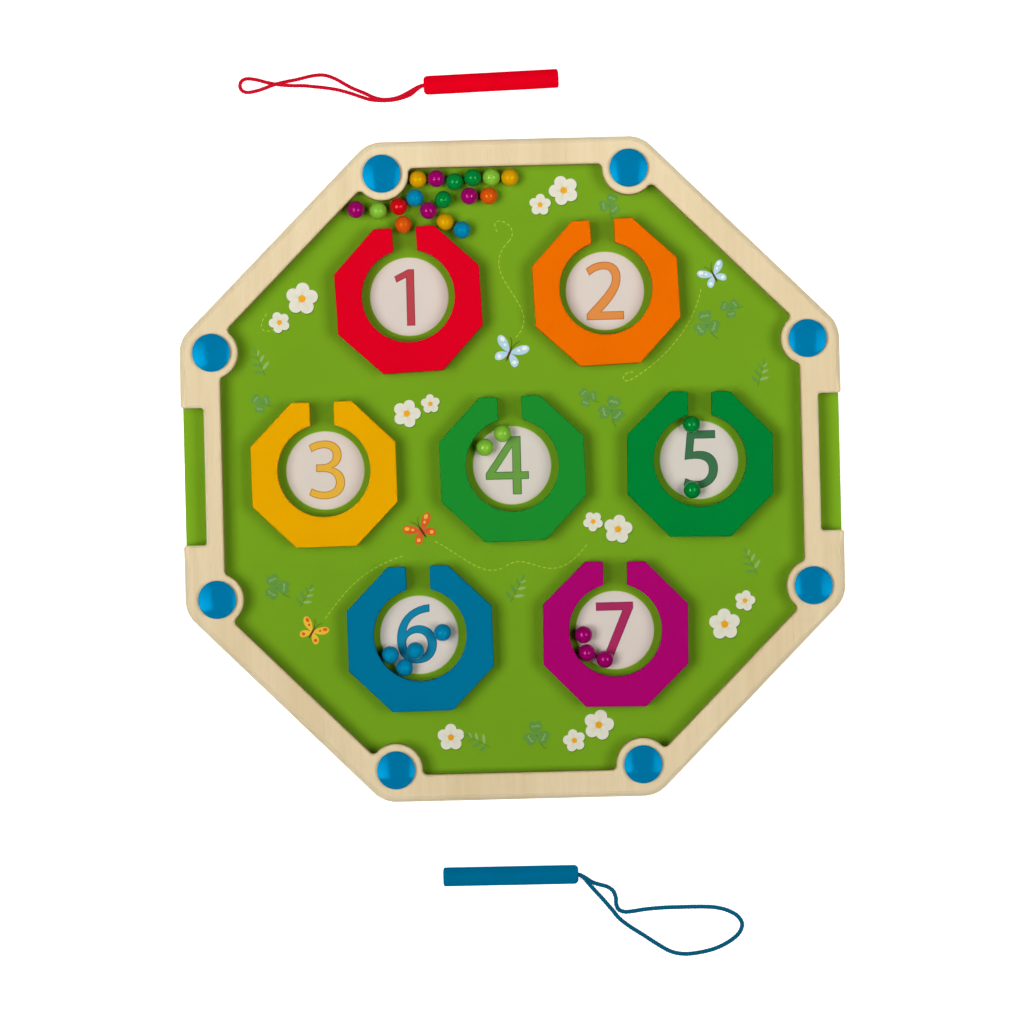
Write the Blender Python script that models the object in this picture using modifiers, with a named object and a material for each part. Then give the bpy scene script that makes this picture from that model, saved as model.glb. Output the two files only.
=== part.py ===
"""Magnetic ball maze: an octagonal wooden tray under a clear cover, seven gated
ring blocks, loose steel balls and two corded magnet wands.

Frame: metres, +Z up, origin on the underside of the board at its centre.
+X runs to the right and +Y to the back of the board, as it is played.
"""

import math

import bmesh
import bpy
from mathutils import Vector

MM = 0.001

# ---------------------------------------------------------------- dimensions, mm
ACROSS_FLATS = 300.0        # outer octagon
APOTHEM = ACROSS_FLATS / 2
SCREW_CIRCLE = 146.6        # the corner screws sit on this circle
INNER_APOTHEM = 137.8       # window: back, front and diagonal bars
INNER_APOTHEM_SIDE = 131.8  # window: left and right bars, wider for the wand rests
LOBE_R = 12.0               # rounded boss around each screw
LOBE_FILLET = 2.3           # tool radius where a boss meets a bar
REST_LENGTH = 62.4          # notch in the left and right bar that holds a wand
REST_FLOOR_X = 139.6        # inner wall of that notch
REST_CORNER_R = 1.4

GAP = 0.3                   # between pieces that touch
BASE_T = 4.0
BASE_INSET = 0.6            # the base board stands back under the frame
WALL_T = 9.0
COVER_T = 1.2
COVER_INSET = 2.2           # the cover's edge stands back this far from the frame's
REST_INSET = 0.8            # and this far from the wand rests

Z_BASE = BASE_T
Z_WALL = Z_BASE + GAP
Z_WALL_TOP = Z_WALL + WALL_T
Z_COVER = Z_WALL_TOP + GAP
Z_COVER_TOP = Z_COVER + COVER_T
Z_HEAD = Z_COVER_TOP + GAP

CAP_R = 8.65                # moulded cap that snaps over a screw's head
CAP_EDGE = 0.3
CAP_H = 1.7
SCREW_R = 2.0
SCREW_HEAD_R = 4.0
SCREW_HEAD_H = 0.6
SCREW_END_Z = 0.6
SCREW_HOLE_R = SCREW_R + GAP + 0.1

RING_APOTHEM = 33.0
RING_HOLE_R = 21.1
RING_HOLE_OFFSET = 1.8      # the well sits this much nearer the gate
GATE_W = 10.8
RING_EDGE = 0.5             # broken edge

BALL_R = 4.0
BALL_Z = Z_BASE + GAP + BALL_R

WAND_R = 4.35
WAND_L = 61.6
WAND_ROUND = 1.5
CORD_BORE_R = 1.95
CORD_BORE_DEPTH = 9.0
MAGNET_R = 2.5
MAGNET_L = 3.6
MAGNET_POCKET_R = MAGNET_R + GAP
MAGNET_POCKET_DEPTH = MAGNET_L + 2 * GAP

CORD_D = 1.4
FLOOR_Z = CORD_D / 2 + 0.1   # centre of a cord that lies on the table

# ring blocks: number, centre x, centre y, turn in degrees (they are glued by hand)
RINGS = (
    (1, -45.3, 78.1, 2.5), (2, 44.6, 79.4, 2.2),
    (3, -85.6, -0.3, 0.7), (4, 0.1, 0.1, 1.3), (5, 85.4, 0.2, -1.1),
    (6, -43.7, -76.0, 0.8), (7, 45.1, -76.1, -0.9),
)
RING_COLOURS = {
    1: (221, 2, 34), 2: (237, 111, 1), 3: (230, 165, 1), 4: (28, 139, 45),
    5: (1, 129, 52), 6: (1, 113, 150), 7: (168, 6, 107),
}

# balls: colour and where each lies on the board
BALLS = (
    ("yellow", -39.8, 132.9), ("purple", -31.4, 133.0),
    ("green_dark", -23.1, 131.4), ("green_dark", -14.8, 133.0),
    ("green_light", -6.3, 133.0), ("yellow", 2.1, 132.7),
    ("purple", -16.6, 124.7), ("orange", -7.7, 124.6),
    ("blue", -41.3, 124.5), ("green_dark", -28.4, 123.4),
    ("purple", -35.3, 118.6), ("red", -48.8, 120.7),
    ("green_light", -58.2, 119.1), ("purple", -68.3, 119.8),
    ("orange", -46.9, 112.5), ("yellow", -27.9, 113.2), ("blue", -20.2, 109.4),
    ("green_light", -12.2, 10.2), ("green_light", -4.1, 16.4),
    ("green_dark", 82.0, 18.3), ("green_dark", 81.6, -11.4),
    ("blue", -33.6, -73.5), ("blue", -57.6, -83.1),
    ("blue", -46.1, -81.5), ("blue", -51.2, -89.1),
    ("purple", 30.6, -76.1), ("purple", 31.9, -84.4), ("purple", 40.0, -87.5),
)
BALL_COLOURS = {
    "red": (214, 12, 30), "orange": (236, 104, 12), "yellow": (236, 176, 22),
    "green_light": (112, 186, 40), "green_dark": (6, 128, 56),
    "blue": (8, 116, 168), "purple": (158, 18, 116),
}

# wands: name, colour, centre x, centre y, turn in degrees, side of the cord end
WANDS = (
    ("wand_red", (228, 3, 30), -5.36, 176.70, 1.71, -1),
    ("wand_blue", (0, 105, 150), -5.29, -185.15, -0.26, 1),
)

# route of each cord: out of its wand, round the loop and back into the wand
LOW, HIGH = WAND_R - 0.85, WAND_R + 0.85
ON_TOP = FLOOR_Z + CORD_D + 0.32
CORDS = (
    ("wand_red_cord", (188, 10, 34), (
        (-29.0, 176.0, HIGH), (-33.0, 175.9, HIGH), (-36.6, 175.8, HIGH),
        (-39.4, 174.9, 4.5), (-42.7, 173.2, 3.2), (-48.3, 170.7, 2.45),
        (-54.3, 170.0, ON_TOP), (-58.6, 170.9, 2.3), (-62.6, 172.9, 1.5),
        (-69.4, 176.0, FLOOR_Z), (-76.6, 180.2, FLOOR_Z),
        (-81.5, 181.9, FLOOR_Z), (-86.4, 181.8, FLOOR_Z),
        (-93.8, 180.2, 1.3), (-98.7, 179.3, 2.1), (-103.6, 178.2, 2.6),
        (-108.4, 176.6, 2.1), (-112.6, 175.4, 1.3), (-116.9, 174.9, FLOOR_Z),
        (-119.1, 175.8, FLOOR_Z), (-120.0, 178.0, FLOOR_Z),
        (-119.1, 180.2, FLOOR_Z), (-116.9, 181.1, FLOOR_Z),
        (-112.6, 180.6, FLOOR_Z), (-108.0, 179.3, FLOOR_Z),
        (-103.6, 178.3, FLOOR_Z), (-96.9, 177.5, FLOOR_Z),
        (-90.8, 177.3, FLOOR_Z), (-86.5, 176.8, FLOOR_Z),
        (-81.7, 176.2, FLOOR_Z), (-75.6, 175.1, FLOOR_Z),
        (-69.5, 173.3, FLOOR_Z), (-65.2, 171.7, FLOOR_Z),
        (-60.6, 170.2, FLOOR_Z), (-54.3, 169.6, FLOOR_Z),
        (-48.0, 170.2, FLOOR_Z), (-42.2, 172.1, 1.25), (-39.1, 174.5, 2.6),
        (-36.6, 175.8, LOW), (-33.0, 175.9, LOW), (-29.0, 176.0, LOW),
    )),
    ("wand_blue_cord", (0, 84, 118), (
        (18.5, -185.4, HIGH), (22.5, -185.4, HIGH), (26.0, -185.5, HIGH),
        (28.8, -187.0, 4.4), (31.8, -189.1, 3.0), (35.2, -190.4, 1.7),
        (38.6, -191.5, 0.95), (41.3, -193.6, FLOOR_Z), (42.4, -196.8, FLOOR_Z),
        (42.5, -199.6, FLOOR_Z), (43.6, -202.0, FLOOR_Z),
        (46.0, -203.1, FLOOR_Z), (49.6, -203.0, FLOOR_Z),
        (54.8, -202.3, FLOOR_Z), (63.2, -201.7, FLOOR_Z),
        (71.5, -201.6, FLOOR_Z), (82.5, -201.7, FLOOR_Z),
        (88.1, -202.2, FLOOR_Z), (93.6, -203.8, FLOOR_Z),
        (98.0, -206.6, FLOOR_Z), (99.7, -210.0, FLOOR_Z),
        (98.6, -213.5, FLOOR_Z), (94.9, -217.0, FLOOR_Z),
        (87.6, -220.7, FLOOR_Z), (79.3, -222.6, FLOOR_Z),
        (72.6, -223.0, FLOOR_Z), (67.1, -221.8, FLOOR_Z),
        (62.2, -219.1, FLOOR_Z), (54.5, -213.9, FLOOR_Z),
        (47.8, -209.4, FLOOR_Z), (43.6, -205.9, FLOOR_Z),
        (40.2, -201.6, FLOOR_Z), (36.2, -196.8, FLOOR_Z),
        (32.6, -192.7, 0.85), (29.8, -189.3, 1.7), (28.0, -187.0, 2.8),
        (26.0, -185.6, LOW), (22.5, -185.4, LOW), (18.5, -185.4, LOW),
    )),
)
CORD_STEP = 3.6             # spacing of the points along a cord

WOOD = (231, 210, 172)
GREEN = (115, 163, 30)
CAP_BLUE = (0, 125, 175)

# ---------------------------------------------------------------- scene
for old in list(bpy.data.objects):
    bpy.data.objects.remove(old, do_unlink=True)

parts = bpy.data.collections.new("magnetic_ball_maze")
bpy.context.scene.collection.children.link(parts)

root = bpy.data.objects.new("maze_origin", None)
parts.objects.link(root)


def material(name, rgb, rough, metallic=0.0, alpha=1.0):
    """A Principled material from an sRGB colour."""
    mat = bpy.data.materials.new(name)
    mat.use_nodes = True
    shader = mat.node_tree.nodes["Principled BSDF"]
    linear = [(c / 255 / 12.92) if c <= 10 else ((c / 255 + 0.055) / 1.055) ** 2.4 for c in rgb]
    shader.inputs["Base Color"].default_value = (*linear, 1.0)
    shader.inputs["Roughness"].default_value = rough
    shader.inputs["Metallic"].default_value = metallic
    shader.inputs["Alpha"].default_value = alpha
    return mat


def place(obj, mat, parent=root):
    """Moves an object into the parts collection and gives it its material."""
    for coll in list(obj.users_collection):
        coll.objects.unlink(obj)
    parts.objects.link(obj)
    obj.data.materials.clear()
    obj.data.materials.append(mat)
    obj.parent = parent
    return obj


# ---------------------------------------------------------------- outlines
def arc(cx, cy, r, a0, a1, n):
    """Points on an arc, both ends included, angles in degrees."""
    return [
        (cx + r * math.cos(math.radians(a0 + (a1 - a0) * i / n)),
         cy + r * math.sin(math.radians(a0 + (a1 - a0) * i / n)))
        for i in range(n + 1)
    ]


def screw_centre(k):
    a = math.radians(22.5 + 45 * k)
    return SCREW_CIRCLE * math.cos(a), SCREW_CIRCLE * math.sin(a)


def rest_outline(mouth, grow=0.0):
    """Inner end of a wand rest, on the right-hand side, open out to x = mouth."""
    half, x, r = REST_LENGTH / 2 + grow, REST_FLOOR_X - grow, REST_CORNER_R + grow
    points = [(mouth, -half)]
    points += arc(x + r, -half + r, r, 270, 180, 3)
    points += arc(x + r, half - r, r, 180, 90, 3)
    return points + [(mouth, half)]


def turned_half(points):
    return [(-x, -y) for x, y in points]


def board_outline(rests, inset=0.0, rest_inset=0.0):
    """Octagon with corners rounded about the screws, with or without the wand rests."""
    corner_r = APOTHEM - inset - SCREW_CIRCLE * math.cos(math.radians(22.5))
    rest = rest_outline(APOTHEM - inset, rest_inset)
    points = []
    for k in range(8):
        if rests and k == 0:
            points += rest
        if rests and k == 4:
            points += turned_half(rest)
        points += arc(*screw_centre(k), corner_r, 45 * k, 45 * (k + 1), 5)
    return points


def window_outline():
    """Inside edge of the frame: eight bars, and a boss around each screw."""
    points = []
    for k in range(8):
        cx, cy = screw_centre(k)
        ends = []
        for side in (k, k + 1):
            reach = INNER_APOTHEM_SIDE if side % 4 == 0 else INNER_APOTHEM
            n = Vector((math.cos(math.radians(45 * side)), math.sin(math.radians(45 * side))))
            t = Vector((-n.y, n.x))
            c = Vector((cx, cy))
            along = math.sqrt((LOBE_R + LOBE_FILLET) ** 2 - (c.dot(n) - reach + LOBE_FILLET) ** 2)
            along = c.dot(t) + (-along if side == k else along)
            ends.append((n * (reach - LOBE_FILLET) + t * along, 45 * side, c))
        (f0, n0, c), (f1, n1, _) = ends
        r = LOBE_FILLET
        a0 = math.degrees(math.atan2(c.y - f0.y, c.x - f0.x))
        a1 = math.degrees(math.atan2(c.y - f1.y, c.x - f1.x))
        a0 = n0 + (a0 - n0 + 180) % 360 - 180
        a1 = n1 + (a1 - n1 + 180) % 360 - 180
        points += arc(f0.x, f0.y, r, n0, a0, 4)
        b0, b1 = a0 + 180, a1 + 180
        sweep = (b1 - b0) % 360 - 360
        points += arc(c.x, c.y, LOBE_R, b0, b0 + sweep, 10)[1:-1]
        points += arc(f1.x, f1.y, r, a1, n1, 4)
    return points


def ring_outline():
    """Octagon with a round well that opens through a gate at the back."""
    half = GATE_W / 2
    corner = RING_APOTHEM / math.cos(math.radians(22.5))
    outer = [(corner * math.cos(math.radians(22.5 + 45 * k)), corner * math.sin(math.radians(22.5 + 45 * k)))
             for k in range(2, 10)]
    open_angle = math.degrees(math.asin(half / RING_HOLE_R))
    well = arc(0, RING_HOLE_OFFSET, RING_HOLE_R, 90 - open_angle, 90 - open_angle - (360 - 2 * open_angle), 26)
    return [(-half, RING_APOTHEM)] + outer[:-1] + [outer[-1], (half, RING_APOTHEM)] + well


def slab(name, loops, z0, z1, edge=0.0, edge_steps=0):
    """A flat outline, with holes if there is more than one loop, filled from z0 to z1."""
    data = bpy.data.curves.new(name, "CURVE")
    data.dimensions = "2D"
    data.fill_mode = "BOTH"
    data.extrude = ((z1 - z0) / 2 - edge) * MM
    data.bevel_depth = edge * MM
    data.bevel_resolution = edge_steps
    data.offset = -edge * MM
    for loop in loops:
        spline = data.splines.new("POLY")
        spline.points.add(len(loop) - 1)
        for point, (x, y) in zip(spline.points, loop):
            point.co = (x * MM, y * MM, 0, 1)
        spline.use_cyclic_u = True
    obj = bpy.data.objects.new(name, data)
    obj.location = (0, 0, (z0 + z1) / 2 * MM)
    parts.objects.link(obj)
    return obj


def turned(name, profile, steps):
    """A profile of radius and height, top to bottom, turned about Z."""
    mesh = bpy.data.meshes.new(name)
    bm = bmesh.new()
    verts = [bm.verts.new((r * MM, 0, z * MM)) for r, z in profile]
    for a, b in zip(verts, verts[1:]):
        bm.edges.new((a, b))
    bm.to_mesh(mesh)
    bm.free()
    obj = bpy.data.objects.new(name, mesh)
    mod = obj.modifiers.new("turn", "SCREW")
    mod.axis = "Z"
    mod.angle = 2 * math.pi
    mod.steps = steps
    mod.render_steps = steps
    mod.use_merge_vertices = True
    mod.merge_threshold = 0.00001
    mod.use_smooth_shade = True
    parts.objects.link(obj)
    return obj


# ---------------------------------------------------------------- tray
screw_holes = [arc(*screw_centre(k), SCREW_HOLE_R, 0, 330, 11) for k in range(8)]

base = slab("base_board", [board_outline(False, BASE_INSET)] + screw_holes, 0, Z_BASE)
place(base, material("base_board_print", GREEN, 0.5))

frame = slab("tray_frame", [board_outline(True), window_outline()] + screw_holes, Z_WALL, Z_WALL_TOP)
place(frame, material("tray_frame_birch", WOOD, 0.55))

# The cover lies on the frame and the ring blocks, and the corner screws hold it down.
cover = slab("clear_cover", [board_outline(True, COVER_INSET, REST_INSET)] + screw_holes, Z_COVER, Z_COVER_TOP)
place(cover, material("clear_cover_acrylic", (245, 248, 248), 0.05, alpha=0.12))

# ---------------------------------------------------------------- corner screws and caps
dome_h = CAP_H - CAP_EDGE
dome_r = (CAP_R ** 2 + dome_h ** 2) / (2 * dome_h)
dome_a = math.degrees(math.asin(CAP_R / dome_r))
pocket_r, pocket_z = SCREW_HEAD_R + GAP, Z_HEAD + SCREW_HEAD_H + GAP
cap_profile = [(0, Z_HEAD + CAP_H)]
cap_profile += [(dome_r * math.sin(math.radians(dome_a * i / 4)),
                 Z_HEAD + CAP_H - dome_r * (1 - math.cos(math.radians(dome_a * i / 4))))
                for i in range(1, 5)]
cap_profile += [(CAP_R, Z_HEAD), (pocket_r, Z_HEAD), (pocket_r, pocket_z), (0, pocket_z)]
screw_profile = [(0, Z_HEAD + SCREW_HEAD_H), (SCREW_HEAD_R - 0.4, Z_HEAD + SCREW_HEAD_H),
                 (SCREW_HEAD_R, Z_HEAD + SCREW_HEAD_H - 0.4), (SCREW_HEAD_R, Z_HEAD), (SCREW_R, Z_HEAD),
                 (SCREW_R, SCREW_END_Z + 1.2), (SCREW_R - 0.8, SCREW_END_Z), (0, SCREW_END_Z)]
for k in range(8):
    x, y = screw_centre(k)
    screw = turned("corner_screw_%d" % (k + 1), screw_profile, 12)
    screw.location = (x * MM, y * MM, 0)
    place(screw, material("corner_screw_%d_steel" % (k + 1), (170, 170, 172), 0.35, 1.0))
    cap = turned("corner_cap_%d" % (k + 1), cap_profile, 16)
    cap.location = (x * MM, y * MM, 0)
    place(cap, material("corner_cap_%d_gloss" % (k + 1), CAP_BLUE, 0.15))

# ---------------------------------------------------------------- ring blocks
for number, x, y, turn in RINGS:
    ring = slab("ring_block_%d" % number, [ring_outline()], Z_WALL, Z_WALL_TOP, RING_EDGE, 0)
    ring.location = (x * MM, y * MM, (Z_WALL + Z_WALL_TOP) / 2 * MM)
    ring.rotation_euler = (0, 0, math.radians(turn))
    place(ring, material("ring_block_%d_paint" % number, RING_COLOURS[number], 0.45))

# ---------------------------------------------------------------- balls
count = {}
for colour, x, y in BALLS:
    count[colour] = count.get(colour, 0) + 1
    bpy.ops.mesh.primitive_uv_sphere_add(segments=10, ring_count=7, radius=BALL_R * MM,
                                         location=(x * MM, y * MM, BALL_Z * MM))
    ball = bpy.context.active_object
    ball.name = "ball_%s_%d" % (colour, count[colour])
    ball.data.name = ball.name
    ball.data.shade_smooth()
    place(ball, material(ball.name + "_enamel", BALL_COLOURS[colour], 0.2))

# ---------------------------------------------------------------- wands
half = WAND_L / 2
wand_profile = [(0, half - MAGNET_POCKET_DEPTH), (MAGNET_POCKET_R, half - MAGNET_POCKET_DEPTH),
                (MAGNET_POCKET_R, half), (WAND_R - 0.4, half), (WAND_R, half - 0.4)]
wand_profile += [(WAND_R - WAND_ROUND + px, -half + WAND_ROUND + py)
                 for px, py in arc(0, 0, WAND_ROUND, 0, -90, 3)]
wand_profile += [(CORD_BORE_R, -half), (CORD_BORE_R, -half + CORD_BORE_DEPTH), (0, -half + CORD_BORE_DEPTH)]
for name, rgb, x, y, turn, cord_side in WANDS:
    wand = turned(name, wand_profile, 16)
    wand.location = (x * MM, y * MM, WAND_R * MM)
    # local +Z, the magnet end, points away from the cord
    wand.rotation_euler = (0, math.radians(-90 * cord_side), math.radians(turn))
    place(wand, material(name + "_lacquer", rgb, 0.3))
    bpy.ops.mesh.primitive_cylinder_add(vertices=16, radius=MAGNET_R * MM, depth=MAGNET_L * MM)
    magnet = bpy.context.active_object
    magnet.name = name + "_magnet"
    magnet.data.name = magnet.name
    magnet.location = (0, 0, (half - MAGNET_POCKET_DEPTH + GAP + MAGNET_L / 2) * MM)
    place(magnet, material(name + "_magnet_nickel", (180, 180, 184), 0.25, 1.0), wand)


# ---------------------------------------------------------------- cords
def smooth_route(points, step):
    """Evenly spaced points on a smooth curve through the route's own points."""
    pts = [Vector(p) for p in points]
    pts = [pts[0] * 2 - pts[1]] + pts + [pts[-1] * 2 - pts[-2]]
    dense = []
    for p0, p1, p2, p3 in zip(pts, pts[1:], pts[2:], pts[3:]):
        t1 = (p1 - p0).length ** 0.5
        t2 = t1 + (p2 - p1).length ** 0.5
        t3 = t2 + (p3 - p2).length ** 0.5
        for i in range(24):
            t = t1 + (t2 - t1) * i / 24
            a1 = p0 * ((t1 - t) / t1) + p1 * (t / t1)
            a2 = p1 * ((t2 - t) / (t2 - t1)) + p2 * ((t - t1) / (t2 - t1))
            a3 = p2 * ((t3 - t) / (t3 - t2)) + p3 * ((t - t2) / (t3 - t2))
            b1 = a1 * ((t2 - t) / t2) + a2 * (t / t2)
            b2 = a2 * ((t3 - t) / (t3 - t1)) + a3 * ((t - t1) / (t3 - t1))
            dense.append(b1 * ((t2 - t) / (t2 - t1)) + b2 * ((t - t1) / (t2 - t1)))
    dense.append(pts[-2])
    run = [0.0]
    for a, b in zip(dense, dense[1:]):
        run.append(run[-1] + (b - a).length)
    n = max(2, round(run[-1] / step))
    out, j = [], 0
    for i in range(n + 1):
        s = run[-1] * i / n
        while j < len(run) - 2 and run[j + 1] < s:
            j += 1
        f = (s - run[j]) / max(run[j + 1] - run[j], 1e-9)
        out.append(dense[j].lerp(dense[j + 1], min(max(f, 0.0), 1.0)))
    return out


for name, rgb, route in CORDS:
    data = bpy.data.curves.new(name, "CURVE")
    data.dimensions = "3D"
    data.bevel_depth = CORD_D / 2 * MM
    data.bevel_resolution = 2
    data.use_fill_caps = True
    line = smooth_route(route, CORD_STEP)
    spline = data.splines.new("POLY")
    spline.points.add(len(line) - 1)
    for point, p in zip(spline.points, line):
        point.co = (p.x * MM, p.y * MM, p.z * MM, 1)
    spline.use_smooth = True
    cord = bpy.data.objects.new(name, data)
    parts.objects.link(cord)
    place(cord, material(name + "_braid", rgb, 0.8))
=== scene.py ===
"""Looks of the magnetic ball maze: birch tray, printed board, painted ring blocks,
enamelled balls, clear cover, moulded corner caps and two corded magnet wands."""

import math
import random

import bmesh
import bpy
from mathutils import Matrix, Vector, geometry, noise


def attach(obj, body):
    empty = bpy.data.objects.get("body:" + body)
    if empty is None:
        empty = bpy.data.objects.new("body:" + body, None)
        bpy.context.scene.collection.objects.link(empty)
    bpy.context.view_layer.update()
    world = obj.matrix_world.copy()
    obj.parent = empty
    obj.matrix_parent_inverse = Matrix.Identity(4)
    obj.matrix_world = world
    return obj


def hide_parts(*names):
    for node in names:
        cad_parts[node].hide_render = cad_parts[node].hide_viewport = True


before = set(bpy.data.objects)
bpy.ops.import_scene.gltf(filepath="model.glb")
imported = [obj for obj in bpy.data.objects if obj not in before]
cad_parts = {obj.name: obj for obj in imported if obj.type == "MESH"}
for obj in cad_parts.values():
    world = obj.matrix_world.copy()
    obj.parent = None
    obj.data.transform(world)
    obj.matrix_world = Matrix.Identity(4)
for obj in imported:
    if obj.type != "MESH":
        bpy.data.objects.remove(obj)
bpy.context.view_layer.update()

MM = 0.001
scene = bpy.context.scene

# ---------------------------------------------------------------- dimensions, mm, as built
APOTHEM = 150.0
SCREW_CIRCLE = 146.6
INNER_APOTHEM = 137.8
INNER_APOTHEM_SIDE = 131.8
LOBE_R = 12.0
LOBE_FILLET = 2.3
REST_LENGTH = 62.4
REST_FLOOR_X = 139.6
REST_CORNER_R = 1.4
GAP = 0.3
BASE_INSET = 0.6
Z_BASE = 4.0
Z_WALL = 4.3
Z_WALL_TOP = 13.3
Z_COVER = 13.6
Z_COVER_TOP = 14.8
Z_HEAD = 15.1
COVER_INSET = 2.2
REST_INSET = 0.8
CAP_R = 8.65
CAP_EDGE = 0.35
CAP_H = 1.7
SCREW_R = 2.0
SCREW_HEAD_R = 4.0
SCREW_HEAD_H = 0.6
SCREW_END_Z = 0.6
SCREW_HOLE_R = 2.4
RING_APOTHEM = 33.0
RING_HOLE_R = 21.1
RING_HOLE_OFFSET = 1.8
GATE_W = 10.8
BALL_R = 4.0
BALL_Z = 8.3
WAND_R = 4.35
WAND_L = 61.6
WAND_ROUND = 1.5
CORD_BORE_R = 1.95
CORD_BORE_DEPTH = 9.0
MAGNET_R = 2.5
MAGNET_L = 3.6
MAGNET_POCKET_R = 2.8
MAGNET_POCKET_DEPTH = 4.2
CORD_D = 1.4
FLOOR_Z = 0.8

RINGS = (
    (1, -45.3, 78.1, 2.5), (2, 44.6, 79.4, 2.2),
    (3, -85.6, -0.3, 0.7), (4, 0.1, 0.1, 1.3), (5, 85.4, 0.2, -1.1),
    (6, -43.7, -76.0, 0.8), (7, 45.1, -76.1, -0.9),
)
RING_SLOTS = {1: "ring_red", 2: "ring_orange", 3: "ring_yellow", 4: "ring_green",
              5: "ring_deep_green", 6: "ring_blue", 7: "ring_purple"}
BALLS = (
    ("yellow", -39.8, 132.9), ("purple", -31.4, 133.0),
    ("green_dark", -23.1, 131.4), ("green_dark", -14.8, 133.0),
    ("green_light", -6.3, 133.0), ("yellow", 2.1, 132.7),
    ("purple", -16.6, 124.7), ("orange", -7.7, 124.6),
    ("blue", -41.3, 124.5), ("green_dark", -28.4, 123.4),
    ("purple", -35.3, 118.6), ("red", -48.8, 120.7),
    ("green_light", -58.2, 119.1), ("purple", -68.3, 119.8),
    ("orange", -46.9, 112.5), ("yellow", -27.9, 113.2), ("blue", -20.2, 109.4),
    ("green_light", -12.2, 10.2), ("green_light", -4.1, 16.4),
    ("green_dark", 82.0, 18.3), ("green_dark", 81.6, -11.4),
    ("blue", -33.6, -73.5), ("blue", -57.6, -83.1),
    ("blue", -46.1, -81.5), ("blue", -51.2, -89.1),
    ("purple", 30.6, -76.1), ("purple", 31.9, -84.4), ("purple", 40.0, -87.5),
)
WANDS = (
    ("wand_red", -5.36, 176.70, 1.71, -1),
    ("wand_blue", -5.29, -185.15, -0.26, 1),
)
LOW, HIGH = WAND_R - 0.85, WAND_R + 0.85
ON_TOP = FLOOR_Z + CORD_D + 0.32
CORDS = (
    ("wand_red", (-36.0, 175.8), (
        (-29.0, 176.0, HIGH), (-33.0, 175.9, HIGH), (-36.6, 175.8, HIGH),
        (-39.4, 174.9, 4.5), (-42.7, 173.2, 3.2), (-48.3, 170.7, 2.45),
        (-54.3, 170.0, ON_TOP), (-58.6, 170.9, 2.3), (-62.6, 172.9, 1.5),
        (-69.4, 176.0, FLOOR_Z), (-76.6, 180.2, FLOOR_Z),
        (-81.5, 181.9, FLOOR_Z), (-86.4, 181.8, FLOOR_Z),
        (-93.8, 180.2, 1.3), (-98.7, 179.3, 2.1), (-103.6, 178.2, 2.6),
        (-108.4, 176.6, 2.1), (-112.6, 175.4, 1.3), (-116.9, 174.9, FLOOR_Z),
        (-119.1, 175.8, FLOOR_Z), (-120.0, 178.0, FLOOR_Z),
        (-119.1, 180.2, FLOOR_Z), (-116.9, 181.1, FLOOR_Z),
        (-112.6, 180.6, FLOOR_Z), (-108.0, 179.3, FLOOR_Z),
        (-103.6, 178.3, FLOOR_Z), (-96.9, 177.5, FLOOR_Z),
        (-90.8, 177.3, FLOOR_Z), (-86.5, 176.8, FLOOR_Z),
        (-81.7, 176.2, FLOOR_Z), (-75.6, 175.1, FLOOR_Z),
        (-69.5, 173.3, FLOOR_Z), (-65.2, 171.7, FLOOR_Z),
        (-60.6, 170.2, FLOOR_Z), (-54.3, 169.6, FLOOR_Z),
        (-48.0, 170.2, FLOOR_Z), (-42.2, 172.1, 1.25), (-39.1, 174.5, 2.6),
        (-36.6, 175.8, LOW), (-33.0, 175.9, LOW), (-29.0, 176.0, LOW),
    )),
    ("wand_blue", (25.5, -185.4), (
        (18.5, -185.4, HIGH), (22.5, -185.4, HIGH), (26.0, -185.5, HIGH),
        (28.8, -187.0, 4.4), (31.8, -189.1, 3.0), (35.2, -190.4, 1.7),
        (38.6, -191.5, 0.95), (41.3, -193.6, FLOOR_Z), (42.4, -196.8, FLOOR_Z),
        (42.5, -199.6, FLOOR_Z), (43.6, -202.0, FLOOR_Z),
        (46.0, -203.1, FLOOR_Z), (49.6, -203.0, FLOOR_Z),
        (54.8, -202.3, FLOOR_Z), (63.2, -201.7, FLOOR_Z),
        (71.5, -201.6, FLOOR_Z), (82.5, -201.7, FLOOR_Z),
        (88.1, -202.2, FLOOR_Z), (93.6, -203.8, FLOOR_Z),
        (98.0, -206.6, FLOOR_Z), (99.7, -210.0, FLOOR_Z),
        (98.6, -213.5, FLOOR_Z), (94.9, -217.0, FLOOR_Z),
        (87.6, -220.7, FLOOR_Z), (79.3, -222.6, FLOOR_Z),
        (72.6, -223.0, FLOOR_Z), (67.1, -221.8, FLOOR_Z),
        (62.2, -219.1, FLOOR_Z), (54.5, -213.9, FLOOR_Z),
        (47.8, -209.4, FLOOR_Z), (43.6, -205.9, FLOOR_Z),
        (40.2, -201.6, FLOOR_Z), (36.2, -196.8, FLOOR_Z),
        (32.6, -192.7, 0.85), (29.8, -189.3, 1.7), (28.0, -187.0, 2.8),
        (26.0, -185.6, LOW), (22.5, -185.4, LOW), (18.5, -185.4, LOW),
    )),
)


# ---------------------------------------------------------------- materials
def lin(rgb, gain=1.0):
    """Linear colour from 0-255 sRGB."""
    out = []
    for c in rgb:
        c = c / 255
        c = c / 12.92 if c <= 0.04045 else ((c + 0.055) / 1.055) ** 2.4
        out.append(min(max(c * gain, 0.0), 1.0))
    return out[0], out[1], out[2], 1.0


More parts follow.
